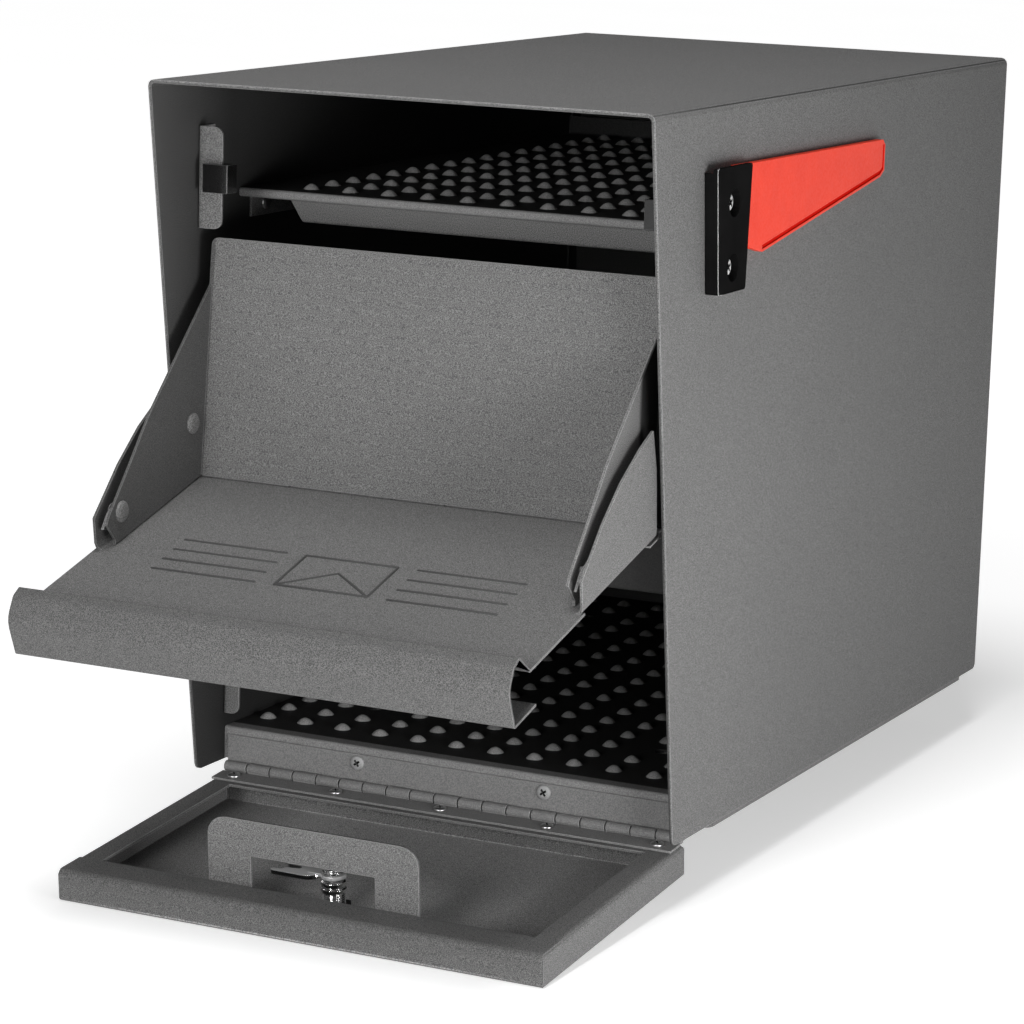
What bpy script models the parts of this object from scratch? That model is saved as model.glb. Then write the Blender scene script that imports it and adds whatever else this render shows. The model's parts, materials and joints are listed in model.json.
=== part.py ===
"""Parcel drop box: a curbside steel locking mailbox with a tipping hopper, a lower
locking door, an inner mail shelf and a side flag.

Every length below is in millimetres and turned into metres when a mesh is made.
Points are given as (x, back, up): x to the flag side from the middle of the box, back
from the front edge of the top, up from the bottom edge of the side panels.
The part's own origin is the middle of the mounting plate's underside.
"""
import math

import bmesh
import bpy
from mathutils import Matrix, Vector

MM = 0.001
GAP = 0.3
SKIN = 0.1

# ---- driving dimensions -------------------------------------------------------------
WIDTH = 305.0
HEIGHT = 405.0
DEPTH = 558.5
FRONT_SETBACK = 59.3
SHELL = 2.0
SHELL_BEND = 4.0
SHEET = 1.5
BEND = 1.8
REAR_FLANGE = 14.0
REAR_SETBACK = 2.0
INNER = WIDTH / 2 - SHELL
FITTED = INNER - GAP

PLATE_FRONT = 112.0
PLATE_BACK = 536.0
PLATE_THICKNESS = 2.7
PLATE_HALF_WIDTH = 151.5
PLATE_CORNER = 6.0
POST_BOLT_X = 95.0
POST_BOLT_PITCH = 300.0
POST_BOLT_HOLE = 8.7
SPACER_RADIUS = 9.0
SPACER_WALL = 4.35

FLOOR_TOP = 20.0
FLOOR_FRONT = 89.5
FLOOR_FLANGE_UP = 0.8
FLOOR_BOLT_HOLE_RADIUS = 5.0
FLANGE_SCREW_X = (-60.0, 60.0)
FLANGE_SCREW_UP = 10.6
FLANGE_SCREW_HOLE = 2.3

SHELF_TOP = 337.5
SHELF_FRONT = 97.5
SHELF_BACK = 540.0
SHELF_NOSE = 5.2
SHELF_REAR_LIP = 12.0
STIFFENER_HALF = 123.0
STIFFENER_BOTTOM = 319.5
STIFFENER_DEPTH = 22.0
STIFFENER_LEAN = 12.0
RAIL_LEG = 15.0
RAIL_DROP = 16.0
RAIL_RIVET_DROP = 9.0
RAIL_RIVET_BACKS = (125.0, 325.0, 520.0)
RAIL_RIVET_HOLE = 2.4

# stop strips: distance back, low end, high end, width of the leg that faces the front
UPPER_STRIP = (51.0, 318.5, 376.0, 15.7)
LOWER_STRIP = (87.2, 28.5, 132.0, 10.5)
STRIP_FOLD = 16.0
STRIP_CORNER = 5.0
BUMPER_LOW = 339.5
BUMPER_HIGH = 355.5
BUMPER_HALF = 5.5
BUMPER_PROUD = 6.5
BUMPER_GRIP = 9.5

DOOR_HALF_WIDTH = 147.8
DOOR_LENGTH = 180.0
DOOR_DEPTH = 18.4
DOOR_TILT = math.radians(4.7)
DOOR_EDGE_BACK = 86.5
DOOR_EDGE_UP = -6.3
DOOR_TOP_BEND = 3.0
DOOR_FOOT_BEND = 1.6
DOOR_FLANGE_HINGE = 20.0
DOOR_FLANGE_FRONT = 21.0
DOOR_FLANGE_SIDE = 15.0
LEAF_SCREW_X = (-135.8, -67.9, 0.0, 67.9, 135.8)
LEAF_SCREW_ALONG = 10.0
LEAF_SCREW_HOLE = 2.1

HINGE_RADIUS = 3.2
HINGE_PIN_RADIUS = 1.5
HINGE_BORE = 1.9
HINGE_LEAF = 1.2
HINGE_KNUCKLES = 19
HINGE_HALF = 147.0
HINGE_PIN_RISE = HINGE_RADIUS + 0.4
HINGE_LEAF_TOP = 15.6
HINGE_LEAF_LENGTH = 17.0
KNUCKLE_GAP = 1.0
KNUCKLE_ROOM = 0.8

GUARD_AT = 156.9
GUARD_HALF = 64.5
GUARD_HEIGHT = 37.7
GUARD_WINDOW_HALF = 38.0
GUARD_WINDOW_TOP = 17.5
GUARD_CORNER = 11.0
GUARD_FOOT = 12.0
LOCK_AT = 135.0
LOCK_RADIUS = 6.4
LOCK_RIM = 10.5
LOCK_BORE = 4.6
LOCK_NUT_RADIUS = 10.6
LOCK_NUT_HEIGHT = 4.5
PLUG_RADIUS = 4.2
SPINDLE_RADIUS = 2.6
CAM_LIFT = 4.5
CAM_THICKNESS = 2.0
CAM_REACH = 36.0
CAM_HALF_WIDTH = 7.0
CAM_NUT_RADIUS = 5.3
CAM_NUT_HEIGHT = 4.0

HOPPER_TILT = math.radians(15.3)
HOPPER_AXIS_BACK = 43.0
HOPPER_AXIS_UP = 177.0
HOPPER_KNUCKLE = 2.5
HOPPER_BORE = 1.55
HOPPER_PIN = 1.2
HOPPER_KNUCKLES = 9
HOPPER_LEAF = 1.0
HOPPER_LEAF_BACK = 64.0
HOPPER_LEAF_ALONG = 17.0
HOPPER_PANEL = 167.0
HOPPER_GAP_AT_HINGE = 3.2
HOPPER_LIP = [(-131.6, 144.4), (-137.6, 140.6), (-143.2, 128.4), (-134.8, 108.0),
              (-110.4, 115.0)]
HOPPER_LIP_BENDS = (1.2, 1.0, 5.0, 12.0, 1.4, 0.0)
BAFFLE_HALF_WIDTH = 140.0
BAFFLE_FOOT = (38.6, 179.4)
BAFFLE_TOP = 314.0
BAFFLE_LEAN = math.radians(5.0)
BAFFLE_CORNER = 4.0
WING_TOP = 288.5
WING_BEND = 5.0
WING_FRONT = 103.5
WING_REAR = 10.0
OUTER_WING = [(-57.8, 151.0), (-60.3, 169.6), (-36.0, 196.0), (-15.0, 214.0), (8.0, 228.6),
              (27.4, 238.0)]
INNER_WING = [(-51.0, 156.8), (-60.0, 166.4), (-57.6, 171.2), (-36.4, 197.2), (-16.5, 222.6)]
WING_RIVET_REAR = (28.5, 210.6)
WING_RIVET_FRONT = (-45.7, 172.1)
WING_RIVET_HOLE = 2.9
BRACE_HALF_WIDTH = 7.0
BRACE_IN = 2.2
BRACE_OUT = 3.7

CROSSBAR_TOP = 174.4
CROSSBAR_BOTTOM = 139.5
CROSSBAR_FRONT = 56.5
CROSSBAR_NOTCH_HALF = 70.0
CROSSBAR_NOTCH_TOP = 160.0
CROSSBAR_LIP_TOP = 6.5
CROSSBAR_LIP_BOTTOM = 12.0

FLAG_PIVOT = (92.3, 352.0)
FLAG_LOWER_SCREW = (93.0, 317.0)
FLAG_BACK_X = 153.4
FLAG_FRONT_X = 157.6
FLAG_HUB_RADIUS = 14.0
FLAG_OUTLINE = [(101.0, 371.2), (323.0, 369.4), (326.8, 366.0), (326.8, 351.0), (320.5, 347.6),
                (140.7, 320.6), (121.0, 325.0), (101.0, 341.0)]
BRACKET_BACK_X = WIDTH / 2 + GAP
BRACKET_FRONT_X = 160.5
BRACKET_SKIN = 2.5
BRACKET_WALL = 2.0
BRACKET_OUTLINE = [(66.9, 372.0), (73.8, 303.5), (111.2, 303.5), (115.0, 372.0)]
BOSS_RADIUS = 9.2
BOSS_HOLE = 7.7
BOSS_FLOOR = 1.6
FLAG_SCREW_RADIUS = 2.0
FLAG_SCREW_HOLE = FLAG_SCREW_RADIUS + 0.4
FLAG_NUT_RADIUS = 4.4
FLAG_NUT_HEIGHT = 3.9

# ---- colours (linear RGB, roughness, metallic) ----------------------------------------
FINISHES = {
    "powder_coat": ((0.165, 0.165, 0.165), 0.62, 0.35),
    "inner_coat": ((0.060, 0.060, 0.060), 0.65, 0.30),
    "hinge_steel": ((0.120, 0.120, 0.120), 0.50, 0.60),
    "screw_steel": ((0.450, 0.450, 0.460), 0.35, 1.00),
    "chrome": ((0.620, 0.620, 0.630), 0.12, 1.00),
    "black_plastic": ((0.010, 0.010, 0.011), 0.22, 0.00),
    "black_rubber": ((0.018, 0.018, 0.020), 0.75, 0.00),
    "red_plastic": ((0.820, 0.062, 0.035), 0.38, 0.00),
}


# ---- frame ------------------------------------------------------------------------------
def world(x, back, up):
    """Turn box measures in millimetres into the part's frame in metres."""
    middle = (PLATE_FRONT + PLATE_BACK) / 2
    return Vector((x, back - middle, up + PLATE_THICKNESS + GAP)) * MM


def clear_scene():
    for item in list(bpy.data.objects):
        bpy.data.objects.remove(item, do_unlink=True)


def finish_material(name):
    found = bpy.data.materials.get(name)
    if found:
        return found
    colour, roughness, metallic = FINISHES[name]
    material = bpy.data.materials.new(name)
    material.use_nodes = True
    shader = material.node_tree.nodes["Principled BSDF"]
    shader.inputs["Base Color"].default_value = (*colour, 1.0)
    shader.inputs["Roughness"].default_value = roughness
    shader.inputs["Metallic"].default_value = metallic
    return material


# ---- outlines -------------------------------------------------------------------------------
def circle(centre, radius, segments=12, start=0.0):
    step = 2 * math.pi / segments
    return [(centre[0] + radius * math.cos(start + k * step),
             centre[1] + radius * math.sin(start + k * step)) for k in range(segments)]


def rounded(points, radii, closed=False, steps=3):
    """Replace the corners of a path by arcs; radii is one radius or one for each point."""
    count = len(points)
    if not isinstance(radii, (list, tuple)):
        radii = [radii] * count
    result = []
    for k, point in enumerate(points):
        radius = radii[k]
        if not radius or (not closed and k in (0, count - 1)):
            result.append(Vector(point))
            continue
        corner = Vector(point)
        before = (Vector(points[k - 1]) - corner).normalized()
        after = (Vector(points[(k + 1) % count]) - corner).normalized()
        half = before.angle(after) / 2
        reach = radius / math.tan(half)
        centre = corner + (before + after).normalized() * (radius / math.sin(half))
        first = corner + before * reach - centre
        last = corner + after * reach - centre
        sweep = first.angle_signed(last)
        for step in range(steps + 1):
            turned = first.copy()
            turned.rotate(Matrix.Rotation(-sweep * step / steps, 2))
            result.append(centre + turned)
    return [tuple(point) for point in result]


def sheet_outline(path, thickness):
    """Closed outline of a sheet whose one face runs along the path, the other to its left."""
    points = [Vector(point) for point in path]
    offset = []
    for k, point in enumerate(points):
        normals = []
        for first, second in ((k - 1, k), (k, k + 1)):
            if first < 0 or second >= len(points):
                continue
            along = (points[second] - points[first]).normalized()
            normals.append(Vector((-along.y, along.x)))
        mean = sum(normals, Vector((0.0, 0.0))).normalized()
        offset.append(point + mean * (thickness / mean.dot(normals[0])))
    return [tuple(point) for point in points] + [tuple(point) for point in reversed(offset)]


# ---- solids -----------------------------------------------------------------------------------
def mesh_object(bm):
    bmesh.ops.recalc_face_normals(bm, faces=bm.faces)
    mesh = bpy.data.meshes.new("solid")
    bm.to_mesh(mesh)
    bm.free()
    item = bpy.data.objects.new("solid", mesh)
    bpy.context.collection.objects.link(item)
    return item


def extrude(outline, low, high, point):
    """Prism between two values; point(a, b, t) gives the (x, back, up) of a corner."""
    bm = bmesh.new()
    ends = []
    for value in (low, high):
        ends.append([bm.verts.new(world(*point(a, b, value))) for a, b in outline])
    bm.faces.new(ends[0])
    bm.faces.new(list(reversed(ends[1])))
    count = len(outline)
    for k in range(count):
        after = (k + 1) % count
        bm.faces.new((ends[0][after], ends[0][k], ends[1][k], ends[1][after]))
    return mesh_object(bm)


def along_x(outline, low, high):
    """Outline in (back, up), extruded sideways."""
    return extrude(outline, low, high, lambda a, b, t: (t, a, b))


def along_back(outline, low, high):
    """Outline in (x, up), extruded front to back."""
    return extrude(outline, low, high, lambda a, b, t: (a, t, b))


def along_up(outline, low, high):
    """Outline in (x, back), extruded upwards."""
    return extrude(outline, low, high, lambda a, b, t: (a, b, t))


def door_point(x, along, lift):
    """Point on the open lower door: along from its hinge edge, lift above its inner face."""
    cosine = math.cos(DOOR_TILT)
    sine = math.sin(DOOR_TILT)
    back = DOOR_EDGE_BACK - along * cosine - lift * sine
    up = DOOR_EDGE_UP - along * sine + lift * cosine
    return x, back, up


def on_door(outline, low, high):
    """Outline in the door's (x, along), extruded between two lifts."""
    return extrude(outline, low, high, lambda a, b, t: door_point(a, b, t))


def across_door(outline, low, high):
    """Outline in the door's (along, lift), extruded sideways."""
    return extrude(outline, low, high, lambda a, b, t: door_point(t, a, b))


def upright_on_door(outline, low, high):
    """Outline in the door's (x, lift), extruded between two distances along the door."""
    return extrude(outline, low, high, lambda a, b, t: door_point(a, t, b))


def hopper_point(along, lift):
    """(back, up) of a point on the hopper panel's upper face, measured from its hinge."""
    cosine = math.cos(HOPPER_TILT)
    sine = math.sin(HOPPER_TILT)
    rise = HOPPER_KNUCKLE + lift
    return (HOPPER_AXIS_BACK - along * cosine - rise * sine,
            HOPPER_AXIS_UP - along * sine + rise * cosine)


def rectangle(a0, a1, b0, b1):
    return [(a0, b0), (a1, b0), (a1, b1), (a0, b1)]


def box(x0, x1, back0, back1, up0, up1):
    return along_up(rectangle(x0, x1, back0, back1), up0, up1)


def combine(target, tools, operation):
    """Apply exact boolean steps and delete the tools."""
    for tool in tools:
        step = target.modifiers.new("step", "BOOLEAN")
        step.operation = operation
        step.solver = "EXACT"
        step.object = tool
        graph = bpy.context.evaluated_depsgraph_get()
        result = bpy.data.meshes.new_from_object(target.evaluated_get(graph))
        target.modifiers.clear()
        target.data = result
        bpy.data.objects.remove(tool, do_unlink=True)
    return target


def joined(*solids):
    return combine(solids[0], solids[1:], "UNION")


def cut(target, *tools):
    return combine(target, tools, "DIFFERENCE")


def publish(name, item, finish, pivot=None, parent=None, smooth=False):
    """Name a solid, set its material and move its origin to its pivot."""
    item.name = name
    item.data.name = name
    item.data.materials.clear()
    item.data.materials.append(finish_material(finish))
    origin = world(*pivot) if pivot else Vector((0.0, 0.0, 0.0))
    item.data.transform(Matrix.Translation(-origin))
    item.location = origin
    if smooth:
        item.data.shade_smooth()
        item.data.set_sharp_from_angle(angle=math.radians(35))
    if parent:
        hang(item, parent)
    return item


def hang(item, parent):
    """Parent an item that has its world place, keeping that place."""
    item.parent = parent
    while parent:
        item.location -= parent.location
        parent = parent.parent


def pivot_empty(name, pivot, parent=None):
    empty = bpy.data.objects.new(name, None)
    empty.location = world(*pivot)
    empty.empty_display_size = 0.02
    bpy.context.collection.objects.link(empty)
    if parent:
        hang(empty, parent)
    return empty


def turned(profile, centre, direction, segments=12):
    """Solid of revolution; profile is (distance along the axis, radius) from end to end."""
    axis = Vector(direction).normalized()
    side = axis.orthogonal().normalized()
    other = axis.cross(side)
    bm = bmesh.new()
    rings = []
    for distance, radius in profile:
        ring = []
        for k in range(segments):
            angle = 2 * math.pi * k / segments
            spoke = side * math.cos(angle) + other * math.sin(angle)
            point = Vector(centre) + axis * distance + spoke * radius
            ring.append(bm.verts.new(world(*point)))
        rings.append(ring)
    for low, high in zip(rings, rings[1:]):
        for k in range(segments):
            after = (k + 1) % segments
            bm.faces.new((low[k], low[after], high[after], high[k]))
    bm.faces.new(list(reversed(rings[0])))
    bm.faces.new(rings[-1])
    return mesh_object(bm)


def rod(centre, direction, low, high, radius, segments=12):
    return turned([(low, radius), (high, radius)], centre, direction, segments)


def pan_screw(centre, direction, head_radius, head_height, shank_radius, shank_length):
    """Domed screw: its head stands on the centre point, its shank goes the other way."""
    profile = [(-shank_length, shank_radius), (0.0, shank_radius), (0.0, head_radius),
               (head_height * 0.45, head_radius * 0.94), (head_height * 0.85, head_radius * 0.62),
               (head_height, head_radius * 0.22)]
    return turned(profile, centre, direction)


# ---- casing ---------------------------------------------------------------------------------------
def front_edge(up):
    """Distance back of the slanted front edge of the side panels at a height."""
    return FRONT_SETBACK * (1 - up / HEIGHT)


def outer_shell():
    half = WIDTH / 2
    path = [(half, 0.0), (half, HEIGHT), (-half, HEIGHT), (-half, 0.0)]
    outline = sheet_outline(rounded(path, SHELL_BEND), SHELL)
    slanted = extrude(outline, 0.0, 1.0,
                      lambda a, b, t: (a, front_edge(b) * (1 - t) + DEPTH * t, b))
    bm = bmesh.new()
    bm.from_mesh(slanted.data)
    bpy.data.objects.remove(slanted, do_unlink=True)
    bottom = world(0, 0, 0).z + MM * 0.01
    corners = [edge for edge in bm.edges
               if all(vert.co.z < bottom for vert in edge.verts)
               and abs(edge.verts[0].co.y - edge.verts[1].co.y) < MM * 0.01]
    bmesh.ops.bevel(bm, geom=corners, offset=SHELL_BEND * MM, segments=3, profile=0.5,
                    affect="EDGES")
    shell = mesh_object(bm)
    holes = [rod((half, *spot), (1, 0, 0), -5, 5, FLAG_SCREW_HOLE)
             for spot in (FLAG_PIVOT, FLAG_LOWER_SCREW)]
    publish("outer_shell", cut(shell, *holes), "powder_coat")


def back_panel():
    """Rear wall with flanges folded forward along its sides and top."""
    half = FITTED
    top = HEIGHT - SHELL - GAP
    low = FLOOR_FLANGE_UP
    wall = DEPTH - REAR_SETBACK
    front = wall - REAR_FLANGE
    arch = rounded([(-half, low), (-half, top), (half, top), (half, low)], SHELL_BEND - SHELL)
    inside = rectangle(-half + SHEET, half - SHEET, low - 2, top - SHEET)
    panel = cut(along_back(arch, front, wall), along_back(inside, front - 2, wall - SHEET))
    publish("back_panel", panel, "inner_coat")


def bolt_spots():
    middle = (PLATE_FRONT + PLATE_BACK) / 2
    return [(x, middle + y) for x in (-POST_BOLT_X, POST_BOLT_X)
            for y in (-POST_BOLT_PITCH / 2, POST_BOLT_PITCH / 2)]


def floor_pan():
    """Tray turned upside down, with its walls reaching down to the mounting plate."""
    back = DEPTH - REAR_SETBACK - REAR_FLANGE - GAP
    low = FLOOR_FLANGE_UP
    path = rounded([(back, low), (back, FLOOR_TOP), (FLOOR_FRONT, FLOOR_TOP), (FLOOR_FRONT, low)],
                   BEND)
    pan = along_x(sheet_outline(path, SHEET), -FITTED, FITTED)
    sides = [box(*sorted((sign * FITTED, sign * (FITTED - SHEET))), FLOOR_FRONT + 3.0, back - 3.0,
                 low, FLOOR_TOP - SHEET / 2) for sign in (-1, 1)]
    bolts = [rod((*spot, FLOOR_TOP), (0, 0, 1), -5, 5, FLOOR_BOLT_HOLE_RADIUS)
             for spot in bolt_spots()]
    screws = [rod((x, FLOOR_FRONT, FLANGE_SCREW_UP), (0, 1, 0), -5, 5, FLANGE_SCREW_HOLE)
              for x in FLANGE_SCREW_X]
    publish("floor_pan", cut(joined(pan, *sides), *bolts, *screws), "inner_coat")


def mounting_plate():
    outline = rounded(rectangle(-PLATE_HALF_WIDTH, PLATE_HALF_WIDTH, PLATE_FRONT, PLATE_BACK),
                      PLATE_CORNER, closed=True)
    plate = along_up(outline, -GAP - PLATE_THICKNESS, -GAP)
    holes = [rod((*spot, 0), (0, 0, 1), -8, 4, POST_BOLT_HOLE / 2, 16) for spot in bolt_spots()]
    publish("mounting_plate", cut(plate, *holes), "powder_coat")


def bolt_spacers():
    """Tubes that keep the post bolts from crushing the floor pan."""
    height = FLOOR_TOP - SHEET - GAP
    for number, spot in enumerate(bolt_spots()):
        tube = rod((*spot, 0), (0, 0, 1), 0.0, height, SPACER_RADIUS)
        bore = rod((*spot, 0), (0, 0, 1), -3, height + 3, SPACER_RADIUS - SPACER_WALL)
        publish(f"bolt_spacer_{number + 1}", cut(tube, bore), "hinge_steel")


def latch_crossbar():
    """Channel behind the lower door's top; its notch takes the lock and its guard plate."""
    slope = FRONT_SETBACK / HEIGHT
    foot = CROSSBAR_FRONT + (CROSSBAR_TOP - CROSSBAR_BOTTOM) * slope
    path = [(CROSSBAR_FRONT + CROSSBAR_LIP_TOP, CROSSBAR_TOP), (CROSSBAR_FRONT, CROSSBAR_TOP),
            (foot, CROSSBAR_BOTTOM), (foot + CROSSBAR_LIP_BOTTOM, CROSSBAR_BOTTOM)]
    bar = along_x(sheet_outline(rounded(path, BEND), SHEET), -FITTED, FITTED)
    notch = box(-CROSSBAR_NOTCH_HALF, CROSSBAR_NOTCH_HALF, CROSSBAR_FRONT - 10, foot + 20,
                CROSSBAR_BOTTOM - 10, CROSSBAR_NOTCH_TOP)
    publish("latch_crossbar", cut(bar, notch), "inner_coat")


# ---- shelf and stops ---------------------------------------------------------------------------
def upper_shelf():
    """Shelf with a hooked nose at the front and a lip turned up at the back."""
    low = SHELF_TOP - SHELF_NOSE
    path = [(SHELF_BACK, SHELF_TOP + SHELF_REAR_LIP), (SHELF_BACK, SHELF_TOP),
            (SHELF_FRONT, SHELF_TOP), (SHELF_FRONT, low), (SHELF_FRONT + 6.0, low)]
    shelf = along_x(sheet_outline(rounded(path, BEND), SHEET), -FITTED, FITTED)
    publish("upper_shelf", shelf, "inner_coat")


def shelf_stiffener():
    """Channel under the front of the shelf, with slanted ends."""
    front = SHELF_FRONT + 6.5
    back = front + STIFFENER_DEPTH
    top = SHELF_TOP - SHEET - GAP
    path = rounded([(front, top), (front, STIFFENER_BOTTOM), (back, STIFFENER_BOTTOM),
                    (back, top)], BEND)
    channel = along_x(sheet_outline(path, SHEET), -STIFFENER_HALF, STIFFENER_HALF)
    slants = []
    for sign in (-1, 1):
        edge = sign * STIFFENER_HALF
        outline = [(edge, top + 1), (edge - sign * STIFFENER_LEAN, STIFFENER_BOTTOM - 1),
                   (edge + sign * 20, STIFFENER_BOTTOM - 1), (edge + sign * 20, top + 1)]
        slants.append(along_back(outline, front - 5, back + 8))
    publish("shelf_stiffener", cut(channel, *slants), "inner_coat")


def shelf_rail(name, sign):
    """Angle under one edge of the shelf and the rivets that hold it to the side."""
    top = SHELF_TOP - SHEET - GAP
    path = [(sign * (FITTED - RAIL_LEG), top), (sign * FITTED, top),
            (sign * FITTED, top - RAIL_DROP)]
    if sign > 0:
        path.reverse()
    outline = sheet_outline(rounded(path, BEND), SHEET)
    rail = along_back(outline, SHELF_FRONT + 12.0, SHELF_BACK - 8.0)
    height = top - RAIL_RIVET_DROP
    holes = [rod((sign * FITTED, back, height), (1, 0, 0), -8, 8, RAIL_RIVET_HOLE)
             for back in RAIL_RIVET_BACKS]
    publish(f"shelf_rail_{name}", cut(rail, *holes), "inner_coat")
    seat = sign * (FITTED - SHEET - 0.1)
    for number, back in enumerate(RAIL_RIVET_BACKS):
        rivet = pan_screw((seat, back, height), (-sign, 0, 0), 3.9, 1.8, 2.0, 1.4)
        publish(f"shelf_rivet_{name}_{number + 1}", rivet, "screw_steel", smooth=True)


def stop_strip(name, sign, back, low, high, width):
    """Angle strip on a side wall whose wide leg faces the front."""
    inner = sign * (FITTED - width)
    path = [(inner, back), (sign * FITTED, back), (sign * FITTED, back + STRIP_FOLD)]
    if sign < 0:
        path.reverse()
    strip = along_up(sheet_outline(rounded(path, BEND), SHEET), low, high)
    radius = STRIP_CORNER
    clips = []
    for up, turn in ((high, 1), (low, -1)):
        arc = [(inner + sign * radius * (1 - math.sin(a)), up - turn * radius * (1 - math.cos(a)))
               for a in (math.pi / 2 * k / 4 for k in range(5))]
        outline = arc + [(inner - sign * 3, up), (inner - sign * 3, up + turn * 3),
                         (inner + sign * radius, up + turn * 3)]
        clips.append(along_back(outline[::turn * sign], back - 3, back + 4))
    publish(name, cut(strip, *clips), "powder_coat")


def stop_bumper(name, sign):
    """Rubber clip pushed over the free edge of a hopper stop."""
    back, _, _, width = UPPER_STRIP
    edge = sign * (FITTED - width)
    inner = edge - sign * BUMPER_PROUD
    root = edge + sign * BUMPER_GRIP
    front = back - BUMPER_HALF
    rear = back + BUMPER_HALF
    slot_front = back - GAP
    slot_rear = back + SHEET + GAP
    slot_end = edge - sign * GAP
    outline = [(inner, front), (root, front), (root, slot_front), (slot_end, slot_front),
               (slot_end, slot_rear), (root, slot_rear), (root, rear), (inner, rear)]
    soft = rounded(outline, 0.25, closed=True, steps=1)
    publish(name, along_up(soft, BUMPER_LOW, BUMPER_HIGH), "black_rubber")


# ---- lower door ----------------------------------------------------------------------------------
def door_pivot():
    return door_point(0.0, 0.5, HINGE_PIN_RISE)


def door_normal():
    return Vector(door_point(0, 0, 1)) - Vector(door_point(0, 0, 0))


def knuckle_spans(count, half, gap, first):
    """Sideways spans of every second knuckle, starting with the given one."""
    pitch = 2 * half / count
    return [(-half + k * pitch + gap / 2, -half + (k + 1) * pitch - gap / 2)
            for k in range(first, count, 2)]


def hinge_half(leaf, pivot, radius, bore, count, half, first):
    """Give a leaf its knuckles, the rooms for the other leaf's knuckles and the pin's bore."""
    centre = (0.0, pivot[1], pivot[2])
    own = knuckle_spans(count, half, KNUCKLE_GAP, first)
    other = knuckle_spans(count, half, -KNUCKLE_GAP, 1 - first)
    rooms = [rod(centre, (1, 0, 0), *span, radius + KNUCKLE_ROOM) for span in other]
    rolls = [rod(centre, (1, 0, 0), *span, radius) for span in own]
    body = joined(cut(leaf, *rooms), *rolls)
    return cut(body, rod(centre, (1, 0, 0), -WIDTH / 2, WIDTH / 2, bore))


def floor_hinge():
    pivot = door_pivot()
    face = FLOOR_FRONT - GAP
    leaf = box(-HINGE_HALF, HINGE_HALF, face - HINGE_LEAF, face, pivot[2], HINGE_LEAF_TOP)
    body = hinge_half(leaf, pivot, HINGE_RADIUS, HINGE_BORE, HINGE_KNUCKLES, HINGE_HALF, 0)
    holes = [rod((x, face, FLANGE_SCREW_UP), (0, 1, 0), -4, 4, FLANGE_SCREW_HOLE)
             for x in FLANGE_SCREW_X]
    publish("floor_hinge_leaf", cut(body, *holes), "hinge_steel")
    pin = rod(pivot, (1, 0, 0), -HINGE_HALF + 1, HINGE_HALF - 1, HINGE_PIN_RADIUS)
    publish("lower_hinge_pin", pin, "screw_steel", smooth=True)
    for number, x in enumerate(FLANGE_SCREW_X):
        seat = (x, face - HINGE_LEAF - 0.1, FLANGE_SCREW_UP)
        screw = pan_screw(seat, (0, -1, 0), 4.2, 2.0, 2.0, 6.0)
        publish(f"flange_screw_{number + 1}", screw, "screw_steel", smooth=True)


def leaf_screw_holes():
    return [on_door(circle((x, LEAF_SCREW_ALONG), LEAF_SCREW_HOLE, 8), -5, 5) for x in LEAF_SCREW_X]


def lower_door(parent):
    """Folded steel pan: skin, four walls and the flanges turned in around its opening."""
    half = DOOR_HALF_WIDTH
    bends = [DOOR_FOOT_BEND, DOOR_FOOT_BEND, DOOR_TOP_BEND, DOOR_TOP_BEND]
    side_view = rounded(rectangle(0.0, DOOR_LENGTH, -DOOR_DEPTH, 0.0), bends, closed=True)
    front_view = rounded(rectangle(-half, half, -DOOR_DEPTH, 0.0), bends, closed=True)
    outside = combine(across_door(side_view, -half, half),
                      [upright_on_door(front_view, -1.0, DOOR_LENGTH + 1.0)], "INTERSECT")
    hollow = across_door(rectangle(SHEET, DOOR_LENGTH - SHEET, -DOOR_DEPTH + SHEET, -SHEET),
                         -half + SHEET, half - SHEET)
    mouth = on_door(rectangle(-half + DOOR_FLANGE_SIDE, half - DOOR_FLANGE_SIDE,
                              DOOR_FLANGE_HINGE, DOOR_LENGTH - DOOR_FLANGE_FRONT), -SHEET - 1, 5.0)
    lock_hole = on_door(circle((0.0, LOCK_AT), LOCK_RADIUS + 0.5, 16), -DOOR_DEPTH - 3,
                        -DOOR_DEPTH + 5)
    body = cut(outside, hollow, mouth, lock_hole, *leaf_screw_holes())
    publish("lower_door", body, "powder_coat", door_pivot(), parent)


def door_hinge_leaf(parent):
    pivot = door_pivot()
    low = HINGE_PIN_RISE - HINGE_RADIUS
    leaf = on_door(rectangle(-HINGE_HALF, HINGE_HALF, 0.5, HINGE_LEAF_LENGTH), low,
                   low + HINGE_LEAF)
    body = hinge_half(leaf, pivot, HINGE_RADIUS, HINGE_BORE, HINGE_KNUCKLES, HINGE_HALF, 1)
    publish("door_hinge_leaf", cut(body, *leaf_screw_holes()), "hinge_steel", pivot, parent)
    top = low + HINGE_LEAF + 0.1
    for number, x in enumerate(LEAF_SCREW_X):
        seat = door_point(x, LEAF_SCREW_ALONG, top)
        screw = pan_screw(seat, door_normal(), 3.9, 1.7, 1.8, 6.0)
        publish(f"leaf_screw_{number + 1}", screw, "hinge_steel", pivot, parent, smooth=True)


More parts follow.
